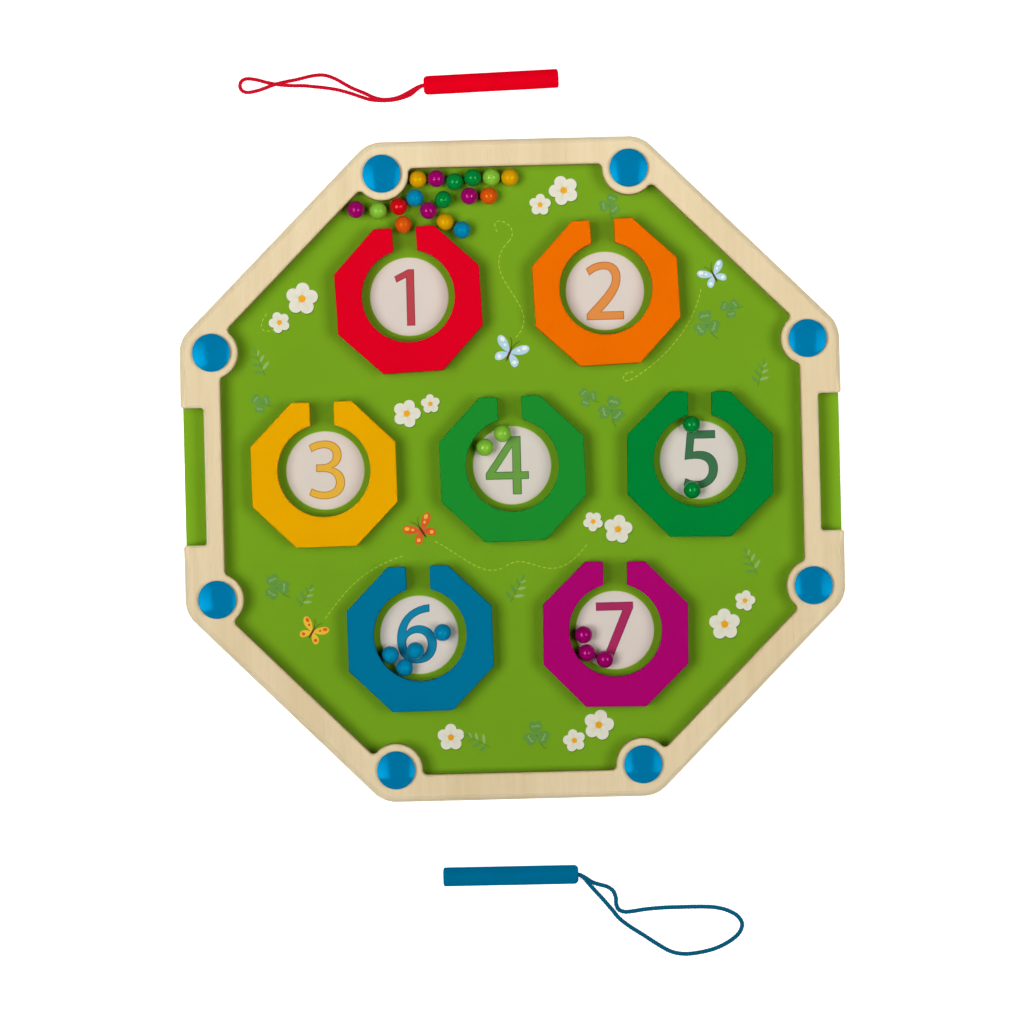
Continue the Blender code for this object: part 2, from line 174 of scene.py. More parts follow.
class Mat:
    """A node material under construction."""

    def __init__(self, name, rough=0.5, **sockets):
        self.mat = bpy.data.materials.new(name)
        self.mat.use_nodes = True
        self.tree = self.mat.node_tree
        self.tree.nodes.clear()
        self.out = self.node("ShaderNodeOutputMaterial")
        self.bsdf = self.node("ShaderNodeBsdfPrincipled")
        self.bsdf.inputs["Roughness"].default_value = rough
        for key, value in sockets.items():
            self.bsdf.inputs[key.replace("_", " ")].default_value = value
        self.link(self.bsdf.outputs[0], self.out.inputs["Surface"])
        self.coord = self.node("ShaderNodeTexCoord").outputs["Object"]
        self.height = None

    def node(self, kind, **props):
        n = self.tree.nodes.new(kind)
        for key, value in props.items():
            setattr(n, key, value)
        return n

    def link(self, a, b):
        self.tree.links.new(a, b)

    def mapped(self, scale, turn=0.0):
        m = self.node("ShaderNodeMapping")
        m.inputs["Scale"].default_value = scale
        m.inputs["Rotation"].default_value = (0, 0, turn)
        self.link(self.coord, m.inputs["Vector"])
        return m.outputs[0]

    def noise(self, scale, detail=3.0, rough=0.55, stretch=(1, 1, 1), turn=0.0, distortion=0.0):
        n = self.node("ShaderNodeTexNoise")
        n.inputs["Scale"].default_value = scale
        n.inputs["Detail"].default_value = detail
        n.inputs["Roughness"].default_value = rough
        n.inputs["Distortion"].default_value = distortion
        self.link(self.mapped(stretch, turn), n.inputs["Vector"])
        return n.outputs["Fac"]

    def ramp(self, fac, *stops):
        r = self.node("ShaderNodeValToRGB")
        e = r.color_ramp.elements
        while len(e) < len(stops):
            e.new(0.5)
        for item, (pos, col) in zip(e, stops):
            item.position = pos
            item.color = col if len(col) == 4 else (*col, 1)
        self.link(fac, r.inputs[0])
        return r.outputs[0]

    def grey(self, fac, lo, hi, a=0.3, b=0.7):
        n = self.node("ShaderNodeMapRange")
        n.inputs["From Min"].default_value = a
        n.inputs["From Max"].default_value = b
        n.inputs["To Min"].default_value = lo
        n.inputs["To Max"].default_value = hi
        self.link(fac, n.inputs["Value"])
        return n.outputs[0]

    def mix(self, a, b, fac, mode="MIX"):
        n = self.node("ShaderNodeMix", data_type="RGBA", blend_type=mode)
        for value, sock in ((fac, n.inputs[0]), (a, n.inputs[6]), (b, n.inputs[7])):
            if isinstance(value, (int, float)):
                sock.default_value = value
            elif isinstance(value, tuple):
                sock.default_value = value
            else:
                self.link(value, sock)
        return n.outputs[2]

    def math(self, op, a, b=0.0):
        n = self.node("ShaderNodeMath", operation=op)
        for value, sock in ((a, n.inputs[0]), (b, n.inputs[1])):
            if isinstance(value, (int, float)):
                sock.default_value = value
            else:
                self.link(value, sock)
        return n.outputs[0]

    def axis(self, i):
        n = self.node("ShaderNodeSeparateXYZ")
        self.link(self.coord, n.inputs[0])
        return n.outputs[i]

    def colour(self, socket):
        self.link(socket, self.bsdf.inputs["Base Color"])

    def rough(self, socket):
        self.link(socket, self.bsdf.inputs["Roughness"])

    def bump(self, height, distance, strength=1.0):
        b = self.node("ShaderNodeBump")
        b.inputs["Strength"].default_value = strength
        b.inputs["Distance"].default_value = distance
        self.link(height, b.inputs["Height"])
        if self.height:
            self.link(self.height, b.inputs["Normal"])
        self.height = b.outputs[0]
        self.link(b.outputs[0], self.bsdf.inputs["Normal"])


GAIN = 0.87             # paint brightness against the studio's exposure
UNDER = 0.97            # the same for what lies under the cover


def paint(name, rgb, gain=GAIN, rough=0.36, tint=None, spread=0.05, grain=0.0, spec=0.4):
    """Sprayed paint on wood or steel: faint cloudiness, fine orange peel, some grain showing through."""
    m = Mat(name, rough)
    m.bsdf.inputs["Specular IOR Level"].default_value = spec
    m.bsdf.inputs["Specular Tint"].default_value = tint or lin(rgb, 1.4)
    base, dark, light = lin(rgb, gain), lin(rgb, gain * (1 - spread)), lin(rgb, gain * (1 + spread))
    cloud = m.noise(55, 3, 0.5)
    fleck = m.noise(1500, 2, 0.6)
    col = m.ramp(cloud, (0.3, dark), (0.5, base), (0.7, light))
    col = m.mix(col, m.ramp(fleck, (0.35, dark), (0.65, light)), 0.25)
    m.colour(col)
    m.rough(m.grey(m.noise(350, 3, 0.6), rough - 0.06, rough + 0.08))
    m.bump(m.noise(1100, 2, 0.5), 0.00003, 0.5)
    if grain:
        m.bump(m.noise(900, 4, 0.6, (1, 0.05, 1)), 0.00004, grain)
    return m.mat


def birch_face(name, gain=GAIN, turn=0.0, tone=(1, 1, 1)):
    m = Mat(name, 0.5)
    m.bsdf.inputs["Specular IOR Level"].default_value = 0.25
    a, b, c = [(r * tone[0], g * tone[1], u * tone[2], 1.0) for r, g, u, _ in (
        lin((237, 218, 179), gain), lin((230, 210, 170), gain), lin((220, 197, 153), gain))]
    broad = m.noise(42, 3, 0.5, (1, 0.07, 1), turn, 0.6)
    fine = m.noise(420, 5, 0.62, (1, 0.035, 1), turn, 0.2)
    pores = m.noise(2600, 2, 0.5, (1, 0.05, 1), turn)
    col = m.ramp(broad, (0.28, c), (0.46, b), (0.62, a), (0.8, b))
    col = m.mix(col, m.ramp(fine, (0.3, c), (0.55, b), (0.75, a)), 0.4)
    col = m.mix(col, lin((190, 160, 118), gain), m.grey(pores, 0.0, 0.28, 0.6, 0.78))
    m.colour(col)
    m.rough(m.grey(fine, 0.42, 0.62))
    m.bump(pores, 0.00004, 0.35)
    m.bump(fine, 0.00005, 0.3)
    return m.mat


def ply_edge(name, z0, ply, gain=GAIN, paint_rgb=None):
    """Sawn plywood edge: veneers of turning grain, one above the other."""
    m = Mat(name, 0.62)
    m.bsdf.inputs["Specular IOR Level"].default_value = 0.2
    z = m.math("DIVIDE", m.math("SUBTRACT", m.axis(2), z0 * MM), 2 * ply * MM)
    wobble = m.grey(m.noise(70, 2), -0.03, 0.03)
    phase = m.math("FRACT", m.math("ADD", z, wobble))
    long_grain = m.ramp(m.noise(700, 4, 0.6, (0.2, 0.2, 3)), (0.3, lin((208, 178, 132), gain)), (0.7, lin((232, 208, 168), gain)))
    end_grain = m.ramp(m.noise(2400, 3, 0.7), (0.3, lin((160, 122, 80), gain)), (0.7, lin((196, 160, 112), gain)))
    step = m.ramp(phase, (0.0, (0, 0, 0)), (0.47, (0, 0, 0)), (0.5, (1, 1, 1)), (0.97, (1, 1, 1)))
    glue = m.ramp(m.math("PINGPONG", phase, 0.25), (0.0, (1, 1, 1)), (0.02, (0, 0, 0)))
    col = m.mix(long_grain, end_grain, step)
    m.colour(m.mix(col, lin((126, 92, 58), gain), m.math("MULTIPLY", glue, 0.5)))
    m.rough(m.grey(m.noise(900, 3), 0.52, 0.76))
    m.bump(m.noise(2200, 3, 0.6), 0.00006, 0.4)
    m.bump(step, 0.00003, 0.3)
    return m.mat


def printed(name, rgb, gain=UNDER, spread=0.06, other=None, open_light_lift=None):
    """Ink on coated board: fine dot screen and slightly uneven density."""
    m = Mat(name, 0.48)
    m.bsdf.inputs["Specular IOR Level"].default_value = 0.15
    m.bsdf.inputs["Specular Tint"].default_value = lin(rgb)
    base, dark, light = lin(rgb, gain), lin(rgb, gain * (1 - spread)), lin(rgb, gain * (1 + spread))
    cloud = m.noise(38, 2, 0.5)
    col = m.ramp(cloud, (0.3, dark), (0.5, base), (0.7, light))
    if open_light_lift:
        # painted light: the print is made brighter at the wand rests, where no sheet lies over it
        open_light_mask = m.math("GREATER_THAN", m.math("ABSOLUTE", m.axis(0)), open_light_lift[0] * MM)
        col = m.mix(col, m.ramp(cloud, (0.3, lin(rgb, gain * open_light_lift[1] * (1 - spread))), (0.7, lin(rgb, gain * open_light_lift[1] * (1 + spread)))), open_light_mask)
    dots = m.node("ShaderNodeTexVoronoi")
    dots.inputs["Scale"].default_value = 3200
    dots.inputs["Randomness"].default_value = 0.25
    m.link(m.mapped((1, 1, 1), 0.6), dots.inputs["Vector"])
    col = m.mix(col, m.ramp(dots.outputs["Distance"], (0.2, dark), (0.7, light)), 0.35)
    if other:
        col = m.mix(col, lin(other, gain), m.grey(m.noise(130, 3, 0.6), 0.0, 0.5))
    m.colour(col)
    m.rough(m.grey(m.noise(600, 2), 0.42, 0.56))
    m.bump(m.noise(1800, 2, 0.5), 0.00001, 0.4)
    return m.mat


def clear_sheet(name, edge=False):
    """Polished acrylic, seen through except for its reflections; the sawn edge is milky."""
    m = Mat(name, 0.08)
    if edge:
        m.bsdf.inputs["Base Color"].default_value = lin((232, 226, 210))
        m.colour(m.ramp(m.noise(400, 3, 0.6, (1, 1, 6)), (0.3, lin((210, 200, 178))), (0.7, lin((240, 236, 224)))))
        m.rough(m.grey(m.noise(900, 3), 0.3, 0.5))
        body = m.bsdf
        weight = 0.10
    else:
        body = m.node("ShaderNodeBsdfGlossy")
        scuff = m.noise(240, 5, 0.7, (1, 0.12, 1), 0.7)
        m.link(m.grey(scuff, 0.02, 0.07, 0.45, 0.8), body.inputs["Roughness"])
        m.tree.nodes.remove(m.bsdf)
        f = m.node("ShaderNodeFresnel")
        f.inputs["IOR"].default_value = 1.49
        inside = m.node("ShaderNodeNewGeometry").outputs["Backfacing"]
        weight = m.math("MULTIPLY", f.outputs[0], m.math("SUBTRACT", 1.0, inside))
    see = m.node("ShaderNodeBsdfTransparent")
    mixer = m.node("ShaderNodeMixShader")
    if isinstance(weight, float):
        mixer.inputs[0].default_value = weight
    else:
        m.link(weight, mixer.inputs[0])
    m.link(see.outputs[0], mixer.inputs[1])
    m.link(body.outputs[0], mixer.inputs[2])
    m.link(mixer.outputs[0], m.out.inputs["Surface"])
    return m.mat


def plastic(name, rgb, tint, rough=0.12, gain=GAIN):
    m = Mat(name, rough)
    m.bsdf.inputs["Specular Tint"].default_value = tint
    m.bsdf.inputs["Specular IOR Level"].default_value = 0.5
    cloud = m.noise(160, 3, 0.5)
    m.colour(m.ramp(cloud, (0.3, lin(rgb, gain * 0.96)), (0.7, lin(rgb, gain * 1.04))))
    m.rough(m.grey(m.noise(500, 3, 0.6), rough - 0.03, rough + 0.04))
    m.bump(m.noise(420, 2, 0.5), 0.00002, 0.3)
    return m.mat


def metal(name, rgb, rough, scratch=0.3):
    m = Mat(name, rough, Metallic=1.0)
    m.colour(m.ramp(m.noise(600, 4, 0.6), (0.3, lin(rgb, 0.85)), (0.7, lin(rgb))))
    m.rough(m.grey(m.noise(900, 3, 0.6), rough - 0.08, rough + 0.12))
    m.bump(m.noise(1500, 3, 0.6, (1, 1, 0.1)), 0.00002, scratch)
    return m.mat


def braid_yarn(name, rgb, gain=GAIN):
    """Polyester yarn: painted shade darkens the hollows between the strands and painted light brightens their crests;
    the fibres run fine.
    """
    m = Mat(name, 0.78)
    m.bsdf.inputs["Specular IOR Level"].default_value = 0.05
    relief = m.node("ShaderNodeAttribute", attribute_name="relief").outputs["Fac"]
    fibre = m.noise(5200, 2, 0.6, (1, 1, 0.5), 0.6)
    # painted shade in the hollows and painted light on the crests, following the strand height
    col = m.ramp(relief, (0.0, lin(rgb, gain * 0.55)), (0.5, lin(rgb, gain * 0.95)), (1.0, lin(rgb, gain * 1.15)))
    col = m.mix(col, m.ramp(fibre, (0.3, lin(rgb, gain * 0.7)), (0.7, lin(rgb, gain * 1.15))), 0.3)
    m.colour(col)
    m.rough(m.grey(fibre, 0.68, 0.9))
    m.bump(fibre, 0.00004, 0.5)
    return m.mat


# ---------------------------------------------------------------- outlines
def arc(cx, cy, r, a0, a1, n):
    return [
        (cx + r * math.cos(math.radians(a0 + (a1 - a0) * i / n)),
         cy + r * math.sin(math.radians(a0 + (a1 - a0) * i / n)))
        for i in range(n + 1)
    ]


def screw_centre(k):
    a = math.radians(22.5 + 45 * k)
    return SCREW_CIRCLE * math.cos(a), SCREW_CIRCLE * math.sin(a)


def rest_outline(mouth, grow=0.0):
    half, x, r = REST_LENGTH / 2 + grow, REST_FLOOR_X - grow, REST_CORNER_R + grow
    points = [(mouth, -half)]
    points += arc(x + r, -half + r, r, 270, 180, 7)
    points += arc(x + r, half - r, r, 180, 90, 7)
    return points + [(mouth, half)]


def board_outline(rests, inset=0.0, rest_inset=0.0):
    corner_r = APOTHEM - inset - SCREW_CIRCLE * math.cos(math.radians(22.5))
    rest = rest_outline(APOTHEM - inset, rest_inset)
    points = []
    for k in range(8):
        if rests and k == 0:
            points += rest
        if rests and k == 4:
            points += [(-x, -y) for x, y in rest]
        points += arc(*screw_centre(k), corner_r, 45 * k, 45 * (k + 1), 14)
    return points


def window_outline():
    points = []
    for k in range(8):
        c = Vector(screw_centre(k))
        ends = []
        for side in (k, k + 1):
            reach = INNER_APOTHEM_SIDE if side % 4 == 0 else INNER_APOTHEM
            n = Vector((math.cos(math.radians(45 * side)), math.sin(math.radians(45 * side))))
            t = Vector((-n.y, n.x))
            along = math.sqrt((LOBE_R + LOBE_FILLET) ** 2 - (c.dot(n) - reach + LOBE_FILLET) ** 2)
            along = c.dot(t) + (-along if side == k else along)
            ends.append((n * (reach - LOBE_FILLET) + t * along, 45 * side))
        (f0, n0), (f1, n1) = ends
        a0 = math.degrees(math.atan2(c.y - f0.y, c.x - f0.x))
        a1 = math.degrees(math.atan2(c.y - f1.y, c.x - f1.x))
        a0 = n0 + (a0 - n0 + 180) % 360 - 180
        a1 = n1 + (a1 - n1 + 180) % 360 - 180
        points += arc(f0.x, f0.y, LOBE_FILLET, n0, a0, 9)
        b0, b1 = a0 + 180, a1 + 180
        sweep = (b1 - b0) % 360 - 360
        points += arc(c.x, c.y, LOBE_R, b0, b0 + sweep, 34)[1:-1]
        points += arc(f1.x, f1.y, LOBE_FILLET, a1, n1, 9)
    return points


def ring_outline():
    half = GATE_W / 2
    corner = RING_APOTHEM / math.cos(math.radians(22.5))
    outer = [(corner * math.cos(math.radians(22.5 + 45 * k)), corner * math.sin(math.radians(22.5 + 45 * k)))
             for k in range(2, 10)]
    open_angle = math.degrees(math.asin(half / RING_HOLE_R))
    well = arc(0, RING_HOLE_OFFSET, RING_HOLE_R, 90 - open_angle, 90 - open_angle - (360 - 2 * open_angle), 96)
    return [(-half, RING_APOTHEM)] + outer[:-1] + [outer[-1], (half, RING_APOTHEM)] + well


def area(loop):
    return sum(x0 * y1 - x1 * y0 for (x0, y0), (x1, y1) in zip(loop, loop[1:] + loop[:1])) / 2


def turned_way(loop, ccw=True):
    return loop if (area(loop) > 0) == ccw else loop[::-1]


def clean(loop, tol=1e-4):
    out = []
    for p in loop:
        if not out or math.dist(p, out[-1]) > tol:
            out.append(p)
    if math.dist(out[0], out[-1]) < tol:
        out.pop()
    return out


def filleted(loop, radius, n=5, least=14.0):
    """Rounds the corners that turn by more than a few degrees."""
    out = []
    count = len(loop)
    for i, p in enumerate(loop):
        a, b, c = Vector(loop[i - 1]), Vector(p), Vector(loop[(i + 1) % count])
        u, v = (b - a), (c - b)
        if u.length < 1e-9 or v.length < 1e-9:
            out.append(tuple(p))
            continue
        lu, lv = u.length, v.length
        u.normalize()
        v.normalize()
        cross = u.x * v.y - u.y * v.x
        angle = math.atan2(cross, u.dot(v))
        if abs(math.degrees(angle)) < least:
            out.append(tuple(p))
            continue
        t = min(radius * math.tan(abs(angle) / 2), 0.45 * lu, 0.45 * lv)
        r = t / math.tan(abs(angle) / 2)
        side = 1 if angle > 0 else -1
        start = b - u * t
        centre = start + Vector((-u.y, u.x)) * (r * side)
        a0 = math.degrees(math.atan2(start.y - centre.y, start.x - centre.x))
        out += arc(centre.x, centre.y, r, a0, a0 + math.degrees(angle), n)
    return clean(out)


def supported(loop, gap=0.35, least=2.2):
    """Extra points near both ends of every long straight edge."""
    out = []
    for p, q in zip(loop, loop[1:] + loop[:1]):
        out.append(p)
        d = math.dist(p, q)
        if d > least:
            for f in (gap / d, 1 - gap / d):
                out.append((p[0] + (q[0] - p[0]) * f, p[1] + (q[1] - p[1]) * f))
    return out


def offset(loop, d):
    """The loop moved to its left by d: into the material for outer loops and holes alike."""
    count = len(loop)
    far = d if isinstance(d, list) else [d] * count
    out = []
    for i in range(count):
        if not far[i]:
            out.append(tuple(loop[i]))
            continue
        a, b, c = Vector(loop[i - 1]), Vector(loop[i]), Vector(loop[(i + 1) % count])
        u, v = (b - a).normalized(), (c - b).normalized()
        n = Vector((-u.y - v.y, u.x + v.x))
        if n.length < 1e-6:
            n = Vector((-u.y, u.x))
        n.normalize()
        k = max(0.5, n.dot(Vector((-u.y, u.x))))
        out.append((b.x + n.x * far[i] / k, b.y + n.y * far[i] / k))
    return out


def make_object(name, verts, faces, mats, index=None, smooth=True):
    mesh = bpy.data.meshes.new(name)
    mesh.from_pydata([(x * MM, y * MM, z * MM) for x, y, z in verts], [], faces)
    for m in mats:
        mesh.materials.append(m)
    if index:
        mesh.polygons.foreach_set("material_index", index)
    mesh.polygons.foreach_set("use_smooth", [smooth] * len(faces))
    mesh.update()
    obj = bpy.data.objects.new(name, mesh)
    scene.collection.objects.link(obj)
    return obj


def cap_faces(loops, start_ids):
    """Triangles that fill the loops, with the first face up."""
    flat = [[Vector((x, y, 0)) for x, y in loop] for loop in loops]
    ids, pts = [], []
    for loop, first in zip(loops, start_ids):
        ids += [first + i for i in range(len(loop))]
        pts += loop
    faces = []
    for tri in geometry.tessellate_polygon(flat):
        a, b, c = (pts[i] for i in tri)
        turn = (b[0] - a[0]) * (c[1] - a[1]) - (b[1] - a[1]) * (c[0] - a[0])
        tri = tri if turn > 0 else (tri[0], tri[2], tri[1])
        faces.append(tuple(ids[i] for i in tri))
    return faces


def plate(name, loops, z0, z1, tops, bottoms, mats, steps=4, sup=0.2, wall_mat=None, rounds=None):
    """A flat plate with holes; each loop has its own rounding at the top and bottom edge.
    A top rounding may also be a function of the place along the loop."""
    verts, faces, index = [], [], []
    low_loops, low_ids, top_loops, top_ids = [], [], [], []
    for li, loop in enumerate(loops):
        loop = turned_way(clean(loop), li == 0)
        n = len(loop)
        top = tops[min(li, len(tops) - 1)]
        tops_here = [top(x, y) if callable(top) else top for x, y in loop]
        bottom = bottoms[min(li, len(bottoms) - 1)]
        rings = [(bottom + sup, z0, 2)]
        for i in range(steps + 1):
            a = math.pi / 2 * i / steps
            rings.append((bottom * (1 - math.sin(a)), z0 + bottom * (1 - math.cos(a)), 2))
        rings.append((0, z0 + bottom + sup, 1))
        rings.append((0, [z1 - t - sup for t in tops_here], 1))
        for i in range(steps + 1):
            a = math.pi / 2 * (1 - i / steps)
            rings.append(([t * (1 - math.sin(a)) for t in tops_here], [z1 - t * (1 - math.cos(a)) for t in tops_here],
                          (rounds or {}).get(li, 0)))
        rings.append(([t + sup for t in tops_here], z1, 0))
        first = len(verts)
        for inset, z, _ in rings:
            heights = z if isinstance(z, list) else [z] * n
            verts += [(x, y, h) for (x, y), h in zip(offset(loop, inset), heights)]
        for j in range(len(rings) - 1):
            m = 1 if (rings[j][2] == 1 or rings[j + 1][2] == 1) else rings[j + 1][2]
            if m == 1 and wall_mat:
                m = wall_mat.get(li, 1)
            for i in range(n):
                k = (i + 1) % n
                faces.append((first + j * n + i, first + j * n + k, first + (j + 1) * n + k, first + (j + 1) * n + i))
                index.append(m)
        low_loops.append([(x, y) for x, y, _ in verts[first:first + n]])
        low_ids.append(first)
        last = first + (len(rings) - 1) * n
        top_loops.append([(x, y) for x, y, _ in verts[last:last + n]])
        top_ids.append(last)
    up = cap_faces(top_loops, top_ids)
    faces += up
    index += [0] * len(up)
    down = [tuple(reversed(f)) for f in cap_faces(low_loops, low_ids)]
    faces += down
    index += [2] * len(down)
    return make_object(name, verts, faces, mats, index)


def round_profile(points, sup=0.12, n=4):
    """Rounds the corners of an open profile of (radius, height, corner radius)."""
    out = []
    for i, (x, z, r) in enumerate(points):
        if i in (0, len(points) - 1) or not r:
            out.append((x, z))
            continue
        a, b, c = Vector(points[i - 1][:2]), Vector((x, z)), Vector(points[i + 1][:2])
        u, v = (b - a), (c - b)
        lu, lv = u.length, v.length
        u.normalize()
        v.normalize()
        angle = math.atan2(u.x * v.y - u.y * v.x, u.dot(v))
        t = min(r * math.tan(abs(angle) / 2), 0.82 * lu, 0.82 * lv)
        rr = t / math.tan(abs(angle) / 2)
        side = 1 if angle > 0 else -1
        start, end = b - u * t, b + v * t
        centre = start + Vector((-u.y, u.x)) * (rr * side)
        a0 = math.degrees(math.atan2(start.y - centre.y, start.x - centre.x))
        if t + sup < 0.48 * lu:
            out.append(tuple(start - u * sup))
        out += arc(centre.x, centre.y, rr, a0, a0 + math.degrees(angle), n)
        if t + sup < 0.48 * lv:
            out.append(tuple(end + v * sup))
    return out


def lathe(name, profile, steps, mats, mat_of=None, wobble=None):
    """Turns a profile of (radius, height), listed down the outer side, about Z."""
    verts, faces, index, rows = [], [], [], []
    for r, z in profile:
        if r < 1e-6:
            rows.append([len(verts)])
            verts.append((0, 0, z))
        else:
            rows.append(list(range(len(verts), len(verts) + steps)))
            for j in range(steps):
                a = 2 * math.pi * j / steps
                k = r + (wobble(r, z, a) if wobble else 0.0)
                verts.append((k * math.cos(a), k * math.sin(a), z))
    for i, (up, lo) in enumerate(zip(rows, rows[1:])):
        m = mat_of(profile[i], profile[i + 1]) if mat_of else 0
        for j in range(steps):
            k = (j + 1) % steps
            if len(up) == 1 and len(lo) == 1:
                continue
            if len(up) == 1:
                faces.append((up[0], lo[j], lo[k]))
            elif len(lo) == 1:
                faces.append((up[j], lo[0], up[k]))
            else:
                faces.append((up[j], lo[j], lo[k], up[k]))
            index.append(m)
    return make_object(name, verts, faces, mats, index)


def dress(obj, body, slot=None, *nodes):
    if nodes:
        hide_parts(*nodes)
    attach(obj, body)
    return obj


# ---------------------------------------------------------------- camera
cam = bpy.data.cameras.new("camera")
cam.sensor_width = 36.0
cam.lens = 194.05
cam.clip_end = 50
camera = bpy.data.objects.new("camera", cam)
camera.location = (-0.00065, -0.01949, 2.5199)
camera.rotation_euler = (0, 0, math.radians(-1.41))
scene.collection.objects.link(camera)
scene.camera = camera


# ---------------------------------------------------------------- cords
def smooth_route(points, step):
    pts = [Vector(p) for p in points]
    pts = [pts[0] * 2 - pts[1]] + pts + [pts[-1] * 2 - pts[-2]]
    dense = []
    for p0, p1, p2, p3 in zip(pts, pts[1:], pts[2:], pts[3:]):
        t1 = (p1 - p0).length ** 0.5
        t2 = t1 + (p2 - p1).length ** 0.5
        t3 = t2 + (p3 - p2).length ** 0.5
        for i in range(24):
            t = t1 + (t2 - t1) * i / 24
            a1 = p0 * ((t1 - t) / t1) + p1 * (t / t1)
            a2 = p1 * ((t2 - t) / (t2 - t1)) + p2 * ((t - t1) / (t2 - t1))
            a3 = p2 * ((t3 - t) / (t3 - t2)) + p3 * ((t - t2) / (t3 - t2))
            b1 = a1 * ((t2 - t) / t2) + a2 * (t / t2)
            b2 = a2 * ((t3 - t) / (t3 - t1)) + a3 * ((t - t1) / (t3 - t1))
            dense.append(b1 * ((t2 - t) / (t2 - t1)) + b2 * ((t - t1) / (t2 - t1)))
    dense.append(pts[-2])
    run = [0.0]
    for a, b in zip(dense, dense[1:]):
        run.append(run[-1] + (b - a).length)
    n = max(2, round(run[-1] / step))
    out, j = [], 0
    for i in range(n + 1):
        s = run[-1] * i / n
        while j < len(run) - 2 and run[j + 1] < s:
            j += 1
        f = (s - run[j]) / max(run[j + 1] - run[j], 1e-9)
        out.append(dense[j].lerp(dense[j + 1], min(max(f, 0.0), 1.0)))
    return out, run[-1]


def braided(name, route, mat, broad, sides=24, step=0.22):
    """A tube along the route whose surface is an eight-strand braid, a little flattened where it lies."""
    line, length = smooth_route(route, step)
    real_step = length / (len(line) - 1)
    r = CORD_D / 2
    turns = 2 * math.pi / 1.5        # radians of strand phase per mm
    verts, relief, faces = [], [], []
    tangent = (line[1] - line[0]).normalized()
    normal = tangent.orthogonal().normalized()
    for i, p in enumerate(line):
        a, b = line[max(i - 1, 0)], line[min(i + 1, len(line) - 1)]
        new = (b - a).normalized()
        normal = tangent.rotation_difference(new) @ normal
        normal = (normal - new * normal.dot(new)).normalized()
        tangent = new
        side = tangent.cross(normal)
        s = i * real_step
        for j in range(sides):
            t = 2 * math.pi * j / sides
            p1, p2 = 4 * t + turns * s, 4 * t - turns * s
            over = math.sin(turns * s) * math.sin(4 * t)
            one, two = 0.5 + 0.5 * math.cos(p1), 0.5 + 0.5 * math.cos(p2)
            h = max(one + 0.18 * over, two - 0.18 * over)
            h = min(max((h - 0.35) / 0.75, 0.0), 1.0)
            k = r * (1.0 + 0.13 * h)
            away = (normal * math.cos(t) + side * math.sin(t)) * k
            verts.append((p.x + away.x * broad, p.y + away.y * broad, p.z + away.z))
            relief.append(h)
    n = len(line)
    for i in range(n - 1):
        for j in range(sides):
            k = (j + 1) % sides
            faces.append((i * sides + j, i * sides + k, (i + 1) * sides + k, (i + 1) * sides + j))
    for ring_i, flip in ((0, True), (n - 1, False)):
        centre = len(verts)
        verts.append(tuple(line[ring_i]))
        relief.append(0.5)
        for j in range(sides):
            k = (j + 1) % sides
            tri = (centre, ring_i * sides + j, ring_i * sides + k)
            faces.append(tuple(reversed(tri)) if flip else tri)
    obj = make_object(name, verts, faces, [mat])
    layer = obj.data.attributes.new("relief", "FLOAT", "POINT")
    layer.data.foreach_set("value", relief)
    return obj, [tuple(c * MM for c in p) for p in line[::4] + ([line[-1]] if (n - 1) % 4 else [])], length


cord_mats = {"wand_red": braid_yarn("cord_red_yarn", (224, 12, 46)), "wand_blue": braid_yarn("cord_blue_yarn", (2, 107, 144))}
CORD_BROAD = {"wand_red": 1.12, "wand_blue": 1.28}
for name, (ex, ey), route in CORDS:
    cord, path, length = braided(name + "_lanyard", route, cord_mats[name], CORD_BROAD[name])
    dress(cord, name, name.replace("wand", "cord"), name + "_cord")

# ---------------------------------------------------------------- tray
def screw_hole(k, r=SCREW_HOLE_R):
    return arc(*screw_centre(k), r, 0, 360 - 360 / 32, 31)


holes = [screw_hole(k) for k in range(8)]
# the brighter print at the wand rests is painted light
green_print = printed("board_green_print", (118, 165, 32), spread=0.03, open_light_lift=(136, 1.13))
base_edge = ply_edge("base_board_edge", 0.0, 1.0)
base_back = birch_face("base_board_back", GAIN * 0.96)
base_loop = supported(filleted(board_outline(False, BASE_INSET), 0.5), 0.6, 8)
base = plate("base_board_sheet", [base_loop] + holes, 0, Z_BASE, [0.25, 0.15], [0.35, 0.15],
             [green_print, base_edge, base_back], steps=3)
dress(base, "board", "green_print", "base_board")

frame_face = birch_face("tray_frame_face", 1.0)
frame_round = birch_face("tray_frame_round", 0.98, tone=(0.94, 0.90, 0.81))
# painted shade: a darker, greyer copy of the face for the outer rounded edge
frame_outer_round_shade = birch_face("tray_frame_outer_round_painted_shade", 0.98, tone=(0.885, 0.90, 0.92))
frame_edge = ply_edge("tray_frame_edge", Z_WALL, 9 / 7)
outer = []
edge_run = supported(filleted(board_outline(True), 1.2), 0.5, 6)
for p, q in zip(edge_run, edge_run[1:] + edge_run[:1]):
    pieces = 8 if min(abs(p[0]), abs(q[0])) > APOTHEM - 0.1 and math.dist(p, q) > 12 else 1
    outer += [(p[0] + (q[0] - p[0]) * i / pieces, p[1] + (q[1] - p[1]) * i / pieces) for i in range(pieces)]


def sanded_round(x, y):
    """The outside edge is sanded broadly, the wand rests only broken."""
    if abs(x) < APOTHEM - 1 and abs(y) < REST_LENGTH / 2 + 2:
        return 0.8
    t = min(max((abs(y) - REST_LENGTH / 2 - 1.2) / 9, 0), 1) if abs(x) > APOTHEM - 1 else 1
    return 0.8 + 1.2 * t * t * (3 - 2 * t)


window = supported(window_outline(), 0.5, 6)
tray = plate("tray_frame_wood", [outer, window] + holes, Z_WALL, Z_WALL_TOP, [sanded_round, 0.9, 0.15], [0.3, 0.3, 0.15],
             [frame_face, frame_edge, frame_face, frame_round, frame_outer_round_shade], steps=6, rounds={0: 4, 1: 3})
dress(tray, "board", "birch", "tray_frame")

